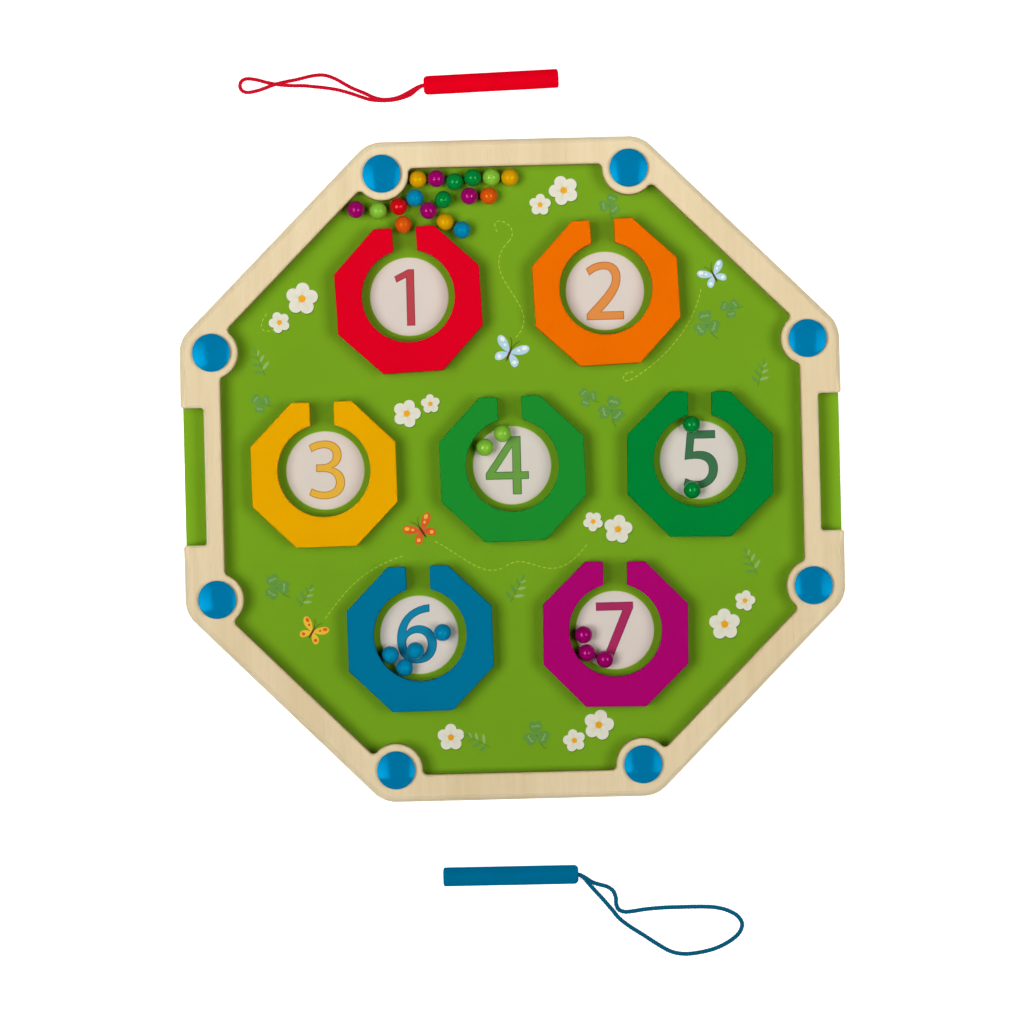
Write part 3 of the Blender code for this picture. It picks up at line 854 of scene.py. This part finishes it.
cover_loop = supported(filleted(board_outline(True, COVER_INSET, REST_INSET), 0.8), 0.5, 6)
LIE = 0.24                  # the sheet lies down on the wood
cover = plate("clear_cover_sheet", [cover_loop] + holes, Z_COVER - LIE, Z_COVER_TOP - LIE, [0.2, 0.1], [0.12, 0.1],
              [clear_sheet("cover_face"), clear_sheet("cover_edge", True), clear_sheet("cover_under")], steps=3,
              rounds={i: 1 for i in range(9)})
dress(cover, "board", "clear_acrylic", "clear_cover")

# ---------------------------------------------------------------- corner caps and screws
SEAT = Z_COVER_TOP - LIE + 0.04
CAP_TOP = CAP_H - 0.2      # the moulding has sunk in a little
dome_h = CAP_TOP - CAP_EDGE
dome_r = (CAP_R ** 2 + dome_h ** 2) / (2 * dome_h)
dome_a = math.degrees(math.asin(CAP_R / dome_r))
dome = [(dome_r * math.sin(math.radians(dome_a * i / 28)), SEAT + CAP_TOP - dome_r * (1 - math.cos(math.radians(dome_a * i / 28))))
        for i in range(28)]
rim = round_profile([
    (dome[-2][0], dome[-2][1], 0), (dome[-1][0], dome[-1][1], 0), (CAP_R, SEAT + CAP_EDGE, 0.2), (CAP_R, SEAT, 0.08),
    (SCREW_HEAD_R + GAP, SEAT, 0.08), (SCREW_HEAD_R + GAP, SEAT + SCREW_HEAD_H + GAP, 0.12),
    (0, SEAT + SCREW_HEAD_H + GAP, 0)], 0.06)
cap_profile = dome[:-2] + rim
cap_blue = plastic("corner_cap_plastic", (0, 128, 179), lin((0, 190, 255)), 0.13)
steel = metal("corner_screw_zinc", (188, 190, 194), 0.34)
thread = [(SCREW_R - 0.12 - 0.13 * math.cos(2 * math.pi * i / 6), SCREW_END_Z + 9.4 - i * 0.15) for i in range(56)]
screw_profile = round_profile([
    (0, SEAT + SCREW_HEAD_H - 0.3, 0), (1.1, SEAT + SCREW_HEAD_H - 0.3, 0.08), (1.2, SEAT + SCREW_HEAD_H, 0.1),
    (SCREW_HEAD_R - 0.4, SEAT + SCREW_HEAD_H, 0.15), (SCREW_HEAD_R, SEAT + SCREW_HEAD_H - 0.4, 0.1),
    (SCREW_HEAD_R, SEAT, 0.06), (SCREW_R, SEAT, 0.08), (SCREW_R, SCREW_END_Z + 9.6, 0)], 0.06)
screw_profile += thread + [(SCREW_R - 0.5, SCREW_END_Z + 0.6), (SCREW_R - 0.9, SCREW_END_Z + 0.05), (SCREW_R - 1.1, SCREW_END_Z), (0, SCREW_END_Z)]
for k in range(8):
    x, y = screw_centre(k)
    cap = lathe("corner_cap_dome_%d" % (k + 1), cap_profile, 72, [cap_blue])
    cap.location = (x * MM, y * MM, 0)
    dress(cap, "board", "cap_blue", "corner_cap_%d" % (k + 1))
    screw = lathe("corner_screw_turned_%d" % (k + 1), screw_profile, 32, [steel])
    screw.location = (x * MM, y * MM, 0)
    dress(screw, "board", "screw_steel", "corner_screw_%d" % (k + 1))

# ---------------------------------------------------------------- ring blocks
RING_RGB = {1: (222, 2, 34), 2: (238, 111, 1), 3: (234, 169, 1), 4: (28, 141, 46),
            5: (1, 131, 53), 6: (1, 116, 154), 7: (172, 6, 110)}
ring_loop = supported(filleted(ring_outline(), 0.9, 5, 30), 0.4, 3)
for number, x, y, turn in RINGS:
    coat = paint("ring_paint_%d" % number, RING_RGB[number], UNDER, 0.42, grain=0.35, spread=0.03)
    # the side walls get a darker copy of the paint: painted shade, which also darkens the light they throw onto the
    # board
    ring_wall_shade_coat = paint("ring_wall_paint_%d" % number, RING_RGB[number], UNDER * 0.62, 0.5, grain=0.5, spread=0.05)
    ring = plate("ring_block_painted_%d" % number, [ring_loop], Z_WALL, Z_WALL_TOP, [0.55], [0.35], [coat, ring_wall_shade_coat, coat], steps=4, sup=0.15)
    ring.location = (x * MM, y * MM, 0)
    ring.rotation_euler = (0, 0, math.radians(turn))
    dress(ring, "board", RING_SLOTS[number], "ring_block_%d" % number)

# ---------------------------------------------------------------- balls
BALL_RGB = {
    "red": (214, 8, 22), "orange": (225, 90, 16), "yellow": (222, 164, 4),
    "green_light": (135, 197, 57), "green_dark": (2, 136, 55),
    "blue": (2, 138, 182), "purple": (160, 4, 105),
}
BALL_GLINT = {
    "red": (0.91, 0.21, 0.23, 1), "orange": (0.64, 0.27, 0.02, 1), "yellow": (0.55, 0.33, 0.01, 1),
    "green_light": (0.35, 0.45, 0.21, 1), "green_dark": (0.09, 0.47, 0.20, 1),
    "blue": (0.01, 0.17, 0.40, 1), "purple": (0.87, 0.14, 0.53, 1),
}
ball_mats = {c: paint("ball_enamel_" + c, rgb, UNDER, 0.09, BALL_GLINT[c], 0.04, spec=0.8)
             for c, rgb in BALL_RGB.items()}
count = {}
for i, (colour, x, y) in enumerate(BALLS):
    count[colour] = count.get(colour, 0) + 1
    node = "ball_%s_%d" % (colour, count[colour])
    rng = random.Random(100 + i)
    marks = []
    for _ in range(3):
        d = Vector((rng.uniform(-1, 1), rng.uniform(-1, 1), rng.uniform(-1, 0.1)))
        marks.append((d.normalized(), rng.uniform(0.010, 0.022)))
    shift = Vector((rng.uniform(0, 50), rng.uniform(0, 50), rng.uniform(0, 50)))
    bm = bmesh.new()
    bmesh.ops.create_icosphere(bm, subdivisions=4, radius=1.0)
    for v in bm.verts:
        d = v.co.normalized()
        r = BALL_R - 0.012 + 0.010 * noise.noise(d * 1.6 + shift)
        for axis_v, depth in marks:
            # small flats where the ball touched its drying rack
            limit = BALL_R * (1 - depth * 0.35)
            along = d.dot(axis_v)
            if along > 0.9 and r * along > limit:
                r = limit / along
        v.co = d * r * MM
    mesh = bpy.data.meshes.new(node + "_enamel")
    bm.to_mesh(mesh)
    bm.free()
    mesh.materials.append(ball_mats[colour])
    mesh.polygons.foreach_set("use_smooth", [True] * len(mesh.polygons))
    ball = bpy.data.objects.new(node + "_enamel", mesh)
    scene.collection.objects.link(ball)
    ball.location = (x * MM, y * MM, BALL_Z * MM)
    dress(ball, node, "ball_" + colour, node)

# ---------------------------------------------------------------- wands
half = WAND_L / 2
wand_profile = round_profile([
    (0, half - MAGNET_POCKET_DEPTH, 0), (MAGNET_POCKET_R, half - MAGNET_POCKET_DEPTH, 0.1), (MAGNET_POCKET_R, half, 0.15),
    (WAND_R, half - 0.45, 0.55), (WAND_R, -half, 1.9), (CORD_BORE_R, -half, 0.25),
    (CORD_BORE_R, -half + CORD_BORE_DEPTH, 0.15), (0, -half + CORD_BORE_DEPTH, 0)], 0.25, 7)
long_side = []
for (r0, z0), (r1, z1) in zip(wand_profile, wand_profile[1:]):
    long_side.append((r0, z0))
    if z0 - z1 > 10:
        long_side += [(r0 + (r1 - r0) * i / 40, z0 + (z1 - z0) * i / 40) for i in range(1, 40)]
long_side.append(wand_profile[-1])
nickel = metal("wand_magnet_nickel", (196, 194, 188), 0.22, 0.15)
magnet_profile = round_profile([(0, MAGNET_L / 2, 0), (MAGNET_R, MAGNET_L / 2, 0.3), (MAGNET_R, -MAGNET_L / 2, 0.3), (0, -MAGNET_L / 2, 0)], 0.15, 4)
WAND_RGB = {"wand_red": (236, 2, 31), "wand_blue": (0, 116, 161)}
for name, x, y, turn, cord_side in WANDS:
    seed = 3.0 if cord_side > 0 else 11.0

    def turning(r, z, a, seed=seed):
        """Hand-held dowels are never dead true."""
        if r < WAND_R - 0.6:
            return 0.0
        return 0.035 * noise.noise(Vector((math.cos(a) * 1.5, math.sin(a) * 1.5, z * 0.06 + seed))) - 0.02

    coat = paint(name + "_lacquer_coat", WAND_RGB[name], GAIN, 0.55, grain=0.5, spread=0.04, spec=0.0)
    wand = lathe(name + "_dowel", long_side, 64, [coat], wobble=turning)
    spin = Matrix.Rotation(math.radians(turn), 4, "Z") @ Matrix.Rotation(math.radians(-90 * cord_side), 4, "Y")
    wand.matrix_world = Matrix.Translation((x * MM, y * MM, WAND_R * MM)) @ spin
    dress(wand, name, name, name)
    magnet = lathe(name + "_magnet_disc", magnet_profile, 48, [nickel])
    up = half - MAGNET_POCKET_DEPTH + GAP + MAGNET_L / 2
    magnet.matrix_world = Matrix.Translation((x * MM, y * MM, WAND_R * MM)) @ spin @ Matrix.Translation((0, 0, up * MM))
    dress(magnet, name, "magnet", name + "_magnet")


# ---------------------------------------------------------------- print on the board
class Ink:
    """Flat printed shapes, each a thin closed film on the board."""

    def __init__(self, name, mats):
        self.name, self.mats = name, mats
        self.verts, self.faces, self.index = [], [], []

    def add(self, loops, top, mat, low=Z_BASE + 0.004):
        loops = [turned_way(clean(loop, 0.01), i == 0) for i, loop in enumerate(loops)]
        tops, lows = [], []
        for loop in loops:
            first, n = len(self.verts), len(loop)
            self.verts += [(x, y, low) for x, y in loop] + [(x, y, top) for x, y in loop]
            lows.append(first)
            tops.append(first + n)
            for i in range(n):
                k = (i + 1) % n
                self.faces.append((first + i, first + k, first + n + k, first + n + i))
                self.index.append(mat)
        up = cap_faces(loops, tops)
        down = [tuple(reversed(f)) for f in cap_faces(loops, lows)]
        self.faces += up + down
        self.index += [mat] * (len(up) + len(down))

    def done(self):
        obj = make_object(self.name, self.verts, self.faces, self.mats, self.index, False)
        return dress(obj, "board", "green_print")


def path_points(start, *parts, n=10):
    """A closed outline from straight runs (x, y) and cubic runs (c1, c2, end)."""
    out = [start]
    for part in parts:
        if isinstance(part[0], tuple):
            p0, (p1, p2, p3) = out[-1], part
            for i in range(1, n + 1):
                t = i / n
                a, b, c, d = (1 - t) ** 3, 3 * t * (1 - t) ** 2, 3 * t * t * (1 - t), t ** 3
                out.append((a * p0[0] + b * p1[0] + c * p2[0] + d * p3[0], a * p0[1] + b * p1[1] + c * p2[1] + d * p3[1]))
        else:
            out.append(part)
    return clean(out, 0.05)


DIGITS = {
    1: [path_points((58, 0), (97, 0), (97, 281), (67, 281), (0, 247), (9, 218), (58, 242))],
    2: [path_points((0, 0), (187, 0), (187, 40), (74, 40), ((110, 78), (174, 140), (174, 213)),
                    ((174, 262), (142, 292), (95, 292)), ((60, 292), (26, 280), (2, 258)), (18, 225),
                    ((38, 243), (62, 255), (88, 255)), ((116, 255), (132, 238), (132, 208)),
                    ((132, 168), (92, 126), (38, 70)), (0, 30))],
    3: [path_points((0, 22), ((24, 8), (50, 0), (78, 0)), ((140, 0), (180, 32), (180, 84)),
                    ((180, 122), (156, 149), (120, 157)), ((150, 168), (166, 192), (166, 222)),
                    ((166, 266), (130, 294), (84, 294)), ((52, 294), (24, 285), (4, 272)), (16, 238),
                    ((34, 250), (56, 257), (78, 257)), ((106, 257), (123, 243), (123, 219)),
                    ((123, 190), (98, 174), (66, 174)), (38, 174), (38, 138), (68, 138),
                    ((108, 138), (136, 118), (136, 84)), ((136, 54), (112, 36), (76, 36)), ((52, 36), (30, 44), (13, 55)))],
    4: [path_points((132, 0), (174, 0), (174, 75), (211, 75), (211, 111), (174, 111), (174, 285), (126, 285),
                    (0, 104), (0, 75), (132, 75)),
        path_points((48, 111), (132, 111), (132, 232))],
    5: [path_points((163, 290), (163, 251), (58, 251), (50, 184), ((60, 186), (72, 187), (84, 187)),
                    ((140, 187), (173, 150), (173, 100)), ((173, 40), (128, 0), (70, 0)), ((42, 0), (18, 6), (0, 16)), (10, 52),
                    ((28, 42), (48, 36), (70, 36)), ((104, 36), (129, 60), (129, 97)), ((129, 132), (104, 150), (62, 150)),
                    ((42, 150), (24, 148), (8, 146)), (24, 290))],
    6: [path_points((165, 295), ((70, 288), (0, 220), (0, 120)), ((0, 45), (38, 0), (100, 0)), ((160, 0), (198, 42), (198, 98)),
                    ((198, 152), (160, 190), (110, 190)), ((82, 190), (60, 178), (46, 160)), ((52, 215), (95, 253), (165, 259))),
        path_points((100, 35), ((66, 35), (44, 64), (44, 104)), ((44, 112), (45, 118), (48, 124)),
                    ((58, 142), (78, 153), (100, 153)), ((134, 153), (154, 130), (154, 95)), ((154, 58), (132, 35), (100, 35)))],
    7: [path_points((0, 288), (184, 288), (184, 258), (72, 0), (26, 0), (132, 248), (0, 248))],
}
# centre of each number on the board, its height, and fill and outline inks
NUMBERS = {
    1: (-47.1, 79.4, 25.5, (187, 70, 76), (150, 62, 84)), 2: (44.1, 80.3, 26.3, (224, 145, 74), (186, 112, 74)),
    3: (-84.6, 1.8, 26.6, (231, 181, 64), (184, 132, 56)), 4: (-2.35, 1.75, 26.3, (109, 160, 70), (80, 118, 74)),
    5: (85.75, 2.35, 26.3, (63, 116, 77), (62, 100, 84)), 6: (-45.4, -74.0, 26.7, (21, 135, 171), (36, 96, 132)),
    7: (45.0, -74.9, 26.3, (172, 47, 95), (146, 52, 98)),
}
DISCS = {1: (-45.03, 79.74), 2: (44.17, 80.19), 3: (-85.22, 1.54), 4: (-0.09, 1.81), 5: (85.14, 2.17), 6: (-44.25, -74.39), 7: (44.9, -74.43)}
DISC_R = 17.7

disc_ink = Ink("print_wells", [printed("ink_well", (222, 213, 202), spread=0.02, other=(218, 208, 198)),
                               printed("ink_well_rim", (196, 205, 140))])
for number, (x, y) in DISCS.items():
    disc_ink.add([arc(x, y, DISC_R + 0.22, 0, 357, 119)], Z_BASE + 0.03, 1)
    disc_ink.add([arc(x, y, DISC_R - 0.08, 0, 357, 119)], Z_BASE + 0.05, 0, Z_BASE + 0.034)
disc_ink.done()

number_mats = []
for number in range(1, 8):
    number_mats += [printed("ink_number_%d" % number, NUMBERS[number][3], spread=0.04),
                    printed("ink_number_line_%d" % number, NUMBERS[number][4], spread=0.04)]
number_ink = Ink("print_numbers", number_mats)
for number, (x, y, tall, _, _) in NUMBERS.items():
    loops = DIGITS[number]
    w = max(p[0] for p in loops[0])
    h = max(p[1] for p in loops[0])
    k = tall / h
    placed = [turned_way(clean([((px - w / 2) * k + x, (py - h / 2) * k + y) for px, py in loop], 0.01), i == 0)
              for i, loop in enumerate(loops)]
    number_ink.add([offset(loop, -0.12) for loop in placed], Z_BASE + 0.075, 2 * (number - 1) + 1, Z_BASE + 0.054)
    number_ink.add([offset(loop, 0.30) for loop in placed], Z_BASE + 0.10, 2 * (number - 1), Z_BASE + 0.079)
number_ink.done()


def place(points, x, y, size=1.0, turn=0.0):
    c, s = math.cos(math.radians(turn)), math.sin(math.radians(turn))
    return [(x + size * (px * c - py * s), y + size * (px * s + py * c)) for px, py in points]


def ellipse(cx, cy, rx, ry, turn=0.0, n=28):
    return place([(rx * math.cos(2 * math.pi * i / n), ry * math.sin(2 * math.pi * i / n)) for i in range(n)], cx, cy, 1.0, turn)


def stroke(points, w0, w1=None):
    """A tapering line drawn along points."""
    w1 = w0 if w1 is None else w1
    left, right = [], []
    n = len(points)
    for i, p in enumerate(points):
        a, b = Vector(points[max(i - 1, 0)]), Vector(points[min(i + 1, n - 1)])
        d = (b - a).normalized()
        w = (w0 + (w1 - w0) * i / (n - 1)) / 2
        left.append((p[0] - d.y * w, p[1] + d.x * w))
        right.append((p[0] + d.y * w, p[1] - d.x * w))
    return left + right[::-1]


def bezier(p0, p1, p2, p3, n=24):
    return path_points(p0, (p1, p2, p3), n=n)


# blossoms with five round petals
petal_ink = Ink("print_blossoms", [
    printed("ink_petal", (249, 245, 229), 0.84, 0.02, (238, 233, 214)), printed("ink_petal_vein", (214, 220, 186)),
    printed("ink_petal_heart", (246, 178, 40), other=(232, 140, 30)), printed("ink_petal_shade", (84, 132, 26))])


def blossom(x, y, r, turn):
    out = []
    d, rho = 0.58 * r, 0.42 * r
    for i in range(150):
        a = 2 * math.pi * i / 150
        delta = (a + math.pi / 5) % (2 * math.pi / 5) - math.pi / 5
        q = d * math.cos(delta) + math.sqrt(rho * rho - (d * math.sin(delta)) ** 2)
        out.append((q * math.cos(a), q * math.sin(a)))
    petal_ink.add([place(out, x + 0.25, y - 0.35, 1.02, turn)], Z_BASE + 0.02, 3)
    petal_ink.add([place(out, x, y, 1.0, turn)], Z_BASE + 0.045, 0, Z_BASE + 0.024)
    for p in range(5):
        for lean in (-11, 0, 11):
            a = math.radians(72 * p + lean)
            tip = 0.66 if lean else 0.76
            vein = stroke([(r * t * math.cos(a), r * t * math.sin(a)) for t in (0.24, 0.45, tip)], 0.05 * r, 0.015 * r)
            petal_ink.add([place(vein, x, y, 1.0, turn)], Z_BASE + 0.06, 1, Z_BASE + 0.049)
    petal_ink.add([ellipse(x, y, 0.23 * r, 0.23 * r)], Z_BASE + 0.075, 2, Z_BASE + 0.064)


for x, y, r, turn in ((-94, 80, 7.4, 12), (-104.5, 69.5, 4.9, 40), (-47.5, 26.5, 6.4, 0), (-36.6, 30.7, 4.4, 22),
                      (36.2, -24.7, 4.6, 50), (47.5, -28.5, 6.6, 8), (25.2, -124.3, 5.2, 30), (36.5, -117.5, 7.0, 4),
                      (95, -73, 7.2, 20), (104.5, -62.5, 4.8, 5), (15.6, 120.2, 5.0, 15), (26.5, 126.5, 6.8, 38), (-31, -121.5, 6.2, 18)):
    blossom(x, y, r, turn)
petal_ink.done()

# clovers and leaf sprigs
leaf_ink = Ink("print_leaves", [
    printed("ink_leaf", (104, 156, 74), other=(92, 146, 62)), printed("ink_leaf_pale", (152, 186, 112), other=(136, 174, 92)),
    printed("ink_leaf_line", (86, 134, 52))])


def clover(x, y, r, turn):
    leaf = path_points((0, 0.06), ((0.34, 0.16), (0.62, 0.5), (0.44, 0.86)), ((0.34, 1.06), (0.08, 1.02), (0, 0.84)),
                       ((-0.08, 1.02), (-0.34, 1.06), (-0.44, 0.86)), ((-0.62, 0.5), (-0.34, 0.16), (0, 0.06)), n=12)
    leaf = [(px * r, py * r) for px, py in leaf]
    leaf = clean(leaf, 0.03)
    stem = stroke([(px * r, py * r) for px, py in bezier((0, 0), (0.1, -0.5), (0.28, -0.9), (0.62, -1.2), 14)], 0.12 * r, 0.07 * r)
    leaf_ink.add([place(stem, x, y, 1.0, turn)], Z_BASE + 0.03, 2)
    for k in range(3):
        a = turn + 120 * k
        leaf_ink.add([place(leaf, x, y, 1.0, a)], Z_BASE + 0.045 + 0.006 * k, 0, Z_BASE + 0.034)
        mark = stroke([(-0.3 * r, 0.52 * r), (-0.14 * r, 0.66 * r), (0, 0.56 * r), (0.14 * r, 0.66 * r), (0.3 * r, 0.52 * r)], 0.09 * r)
        leaf_ink.add([place(mark, x, y, 1.0, a)], Z_BASE + 0.07, 1, Z_BASE + 0.062)


def sprig(x, y, size, turn):
    blade = path_points((0, 0), ((0.18, 0.25), (0.2, 0.62), (0, 1.0)), ((-0.2, 0.62), (-0.18, 0.25), (0, 0)), n=12)
    spine = bezier((0, -0.1), (0.03, 0.5), (-0.04, 1.0), (0.05, 1.6), 16)
    leaf_ink.add([place(stroke(spine, 0.06, 0.03), x, y, size, turn)], Z_BASE + 0.03, 2)
    for i, (at, lean, long) in enumerate(((0.1, 62, 0.72), (0.32, -58, 0.76), (0.58, 54, 0.7), (0.84, -50, 0.64), (1.08, 44, 0.54), (1.3, -38, 0.46), (1.5, 2, 0.48))):
        leaf = place(blade, 0.0, at, long, lean)
        leaf_ink.add([clean(place(leaf, x, y, size, turn), 0.02)], Z_BASE + 0.045 + 0.002 * i, i % 2, Z_BASE + 0.034)


for item in ((90, 64, 6.2, 10), (101, 71, 4.6, 70), (46, 26, 6.2, -15), (35, 32, 4.4, 40), (-109, -51, 6.0, 25), (8, -121, 6.0, 5), (47.5, 119.5, 5.0, -20), (-114, 33, 4.6, 50)):
    clover(*item)
for item in ((-112, 46, 6.8, 20), (-2, -60, 7.0, -28), (110, -50, 6.8, 24), (-98, -60, 6.0, -30), (-14, -126, 6.6, 62), (113, 36, 6.2, -16)):
    sprig(*item)
leaf_ink.done()

# butterflies seen from above, wings open
wing_ink = Ink("print_butterflies", [
    printed("ink_wing_sky", (176, 212, 232), other=(206, 230, 240)), printed("ink_wing_white", (246, 246, 240)),
    printed("ink_wing_coral", (222, 84, 44), other=(236, 122, 56)), printed("ink_wing_sun", (246, 196, 62), other=(240, 170, 40)),
    printed("ink_wing_body", (92, 62, 40)), printed("ink_wing_dark", (150, 48, 36))])


def butterfly(x, y, size, turn, main, spot):
    upper = path_points((0.04, 0.1), ((0.3, 0.72), (0.86, 1.0), (1.02, 0.74)), ((1.12, 0.5), (0.86, 0.06), (0.04, 0.0)), n=14)
    lower = path_points((0.04, 0.0), ((0.5, -0.02), (0.86, -0.22), (0.74, -0.56)), ((0.62, -0.86), (0.24, -0.66), (0.03, -0.12)), n=14)
    for side in (1, -1):
        for j, wing in enumerate((lower, upper)):
            shape = clean([(px * side, py) for px, py in wing], 0.004)
            wing_ink.add([place(shape, x, y, size, turn)], Z_BASE + 0.045 + 0.006 * j, main, Z_BASE + 0.02)
        for cx, cy, rx, ry in ((0.74, 0.62, 0.17, 0.12), (0.5, -0.42, 0.13, 0.12), (0.46, 0.36, 0.1, 0.08)):
            wing_ink.add([place(ellipse(cx * side, cy, rx, ry, 30 * side), x, y, size, turn)], Z_BASE + 0.062, spot, Z_BASE + 0.055)
        feeler = [(px * side, py) for px, py in bezier((0.02, 0.3), (0.08, 0.6), (0.16, 0.8), (0.34, 0.9), 12)]
        wing_ink.add([place(stroke(feeler, 0.05, 0.035), x, y, size, turn)], Z_BASE + 0.066, 4, Z_BASE + 0.055)
    wing_ink.add([place(ellipse(0, -0.08, 0.075, 0.46), x, y, size, turn)], Z_BASE + 0.08, 4, Z_BASE + 0.07)


for item in ((0, 53, 7.4, -24, 0, 1), (-42, -27, 7.0, 32, 2, 3), (-93, -72, 6.2, -30, 3, 2), (94, 86, 6.2, 28, 0, 1)):
    butterfly(*item)
wing_ink.done()

# dashed flight lines
trail_ink = Ink("print_trails", [printed("ink_trail", (178, 204, 72))])
TRAILS = (
    ((3, 60), (18, 74), (-16, 88), (1, 104)), ((1, 104), (8, 112), (-10, 118), (-4, 108)),
    ((-36, -32), (-22, -40), (-14, -50), (-4, -44)), ((-4, -44), (8, -36), (16, -58), (34, -34)),
    ((-87, -66), (-76, -52), (-70, -44), (-50, -38)), ((88, 80), (84, 62), (70, 48), (56, 40)),
    ((56, 40), (48, 36), (52, 46), (58, 42)), ((-100, 70), (-112, 62), (-116, 66), (-110, 74)),
)
for p0, p1, p2, p3 in TRAILS:
    run, _ = smooth_route([(px, py, 0) for px, py in bezier(p0, p1, p2, p3, 30)], 0.5)
    flat = [(p.x, p.y) for p in run]
    i = 0
    while i + 3 < len(flat):
        trail_ink.add([stroke(flat[i:i + 4], 0.38)], Z_BASE + 0.02, 0)
        i += 5
trail_ink.done()

# ---------------------------------------------------------------- floor, light, colour
bm = bmesh.new()
bmesh.ops.create_grid(bm, x_segments=4, y_segments=4, size=6.0)
floor_mesh = bpy.data.meshes.new("floor")
bm.to_mesh(floor_mesh)
bm.free()
floor = bpy.data.objects.new("floor", floor_mesh)
scene.collection.objects.link(floor)
white = Mat("floor_white", 0.8)
white.bsdf.inputs["Specular IOR Level"].default_value = 0.0
white.colour(white.ramp(white.noise(3, 2), (0.3, (0.90, 0.90, 0.90)), (0.7, (0.92, 0.92, 0.92))))
white.bsdf.inputs["Emission Color"].default_value = (1, 1, 1, 1)
white.bsdf.inputs["Emission Strength"].default_value = 0.75
floor_mesh.materials.append(white.mat)
floor.location = (0, 0, -0.0002)


def softbox(name, place_at, size, watts, lean, pitch):
    light = bpy.data.lights.new(name, "AREA")
    light.shape = "RECTANGLE"
    light.size, light.size_y = size        # across, along the table
    light.energy = watts
    light.spread = math.radians(82)
    obj = bpy.data.objects.new(name, light)
    scene.collection.objects.link(obj)
    obj.location = place_at
    obj.rotation_euler = (math.radians(pitch), math.radians(lean), 0)
    return obj


softbox("softbox_left", (-1.090, 0.12, 2.0), (1.086, 1.62), 11.27, -31.2, 13.0)
softbox("softbox_right", (1.233, 0.03, 2.0), (1.02, 1.50), 7.27, 31.65, 13.0)

world = bpy.data.worlds.new("studio")
scene.world = world
world.use_nodes = True
wt = world.node_tree
wt.nodes.clear()
w_out = wt.nodes.new("ShaderNodeOutputWorld")
w_bg = wt.nodes.new("ShaderNodeBackground")
w_co = wt.nodes.new("ShaderNodeTexCoord")
w_sep = wt.nodes.new("ShaderNodeSeparateXYZ")
w_map = wt.nodes.new("ShaderNodeMapRange")
wt.links.new(w_co.outputs["Generated"], w_sep.inputs[0])
wt.links.new(w_sep.outputs[2], w_map.inputs["Value"])
w_map.inputs["From Min"].default_value = 0.15
w_map.inputs["From Max"].default_value = 0.75
w_map.inputs["To Min"].default_value = 0.02
w_map.inputs["To Max"].default_value = 0.0
wt.links.new(w_map.outputs[0], w_bg.inputs["Strength"])
w_bg.inputs["Color"].default_value = (1, 1, 1, 1)
wt.links.new(w_bg.outputs[0], w_out.inputs["Surface"])

scene.view_settings.view_transform = "Standard"
scene.view_settings.look = "None"
scene.view_settings.exposure = 0.0

bpy.context.view_layer.update()
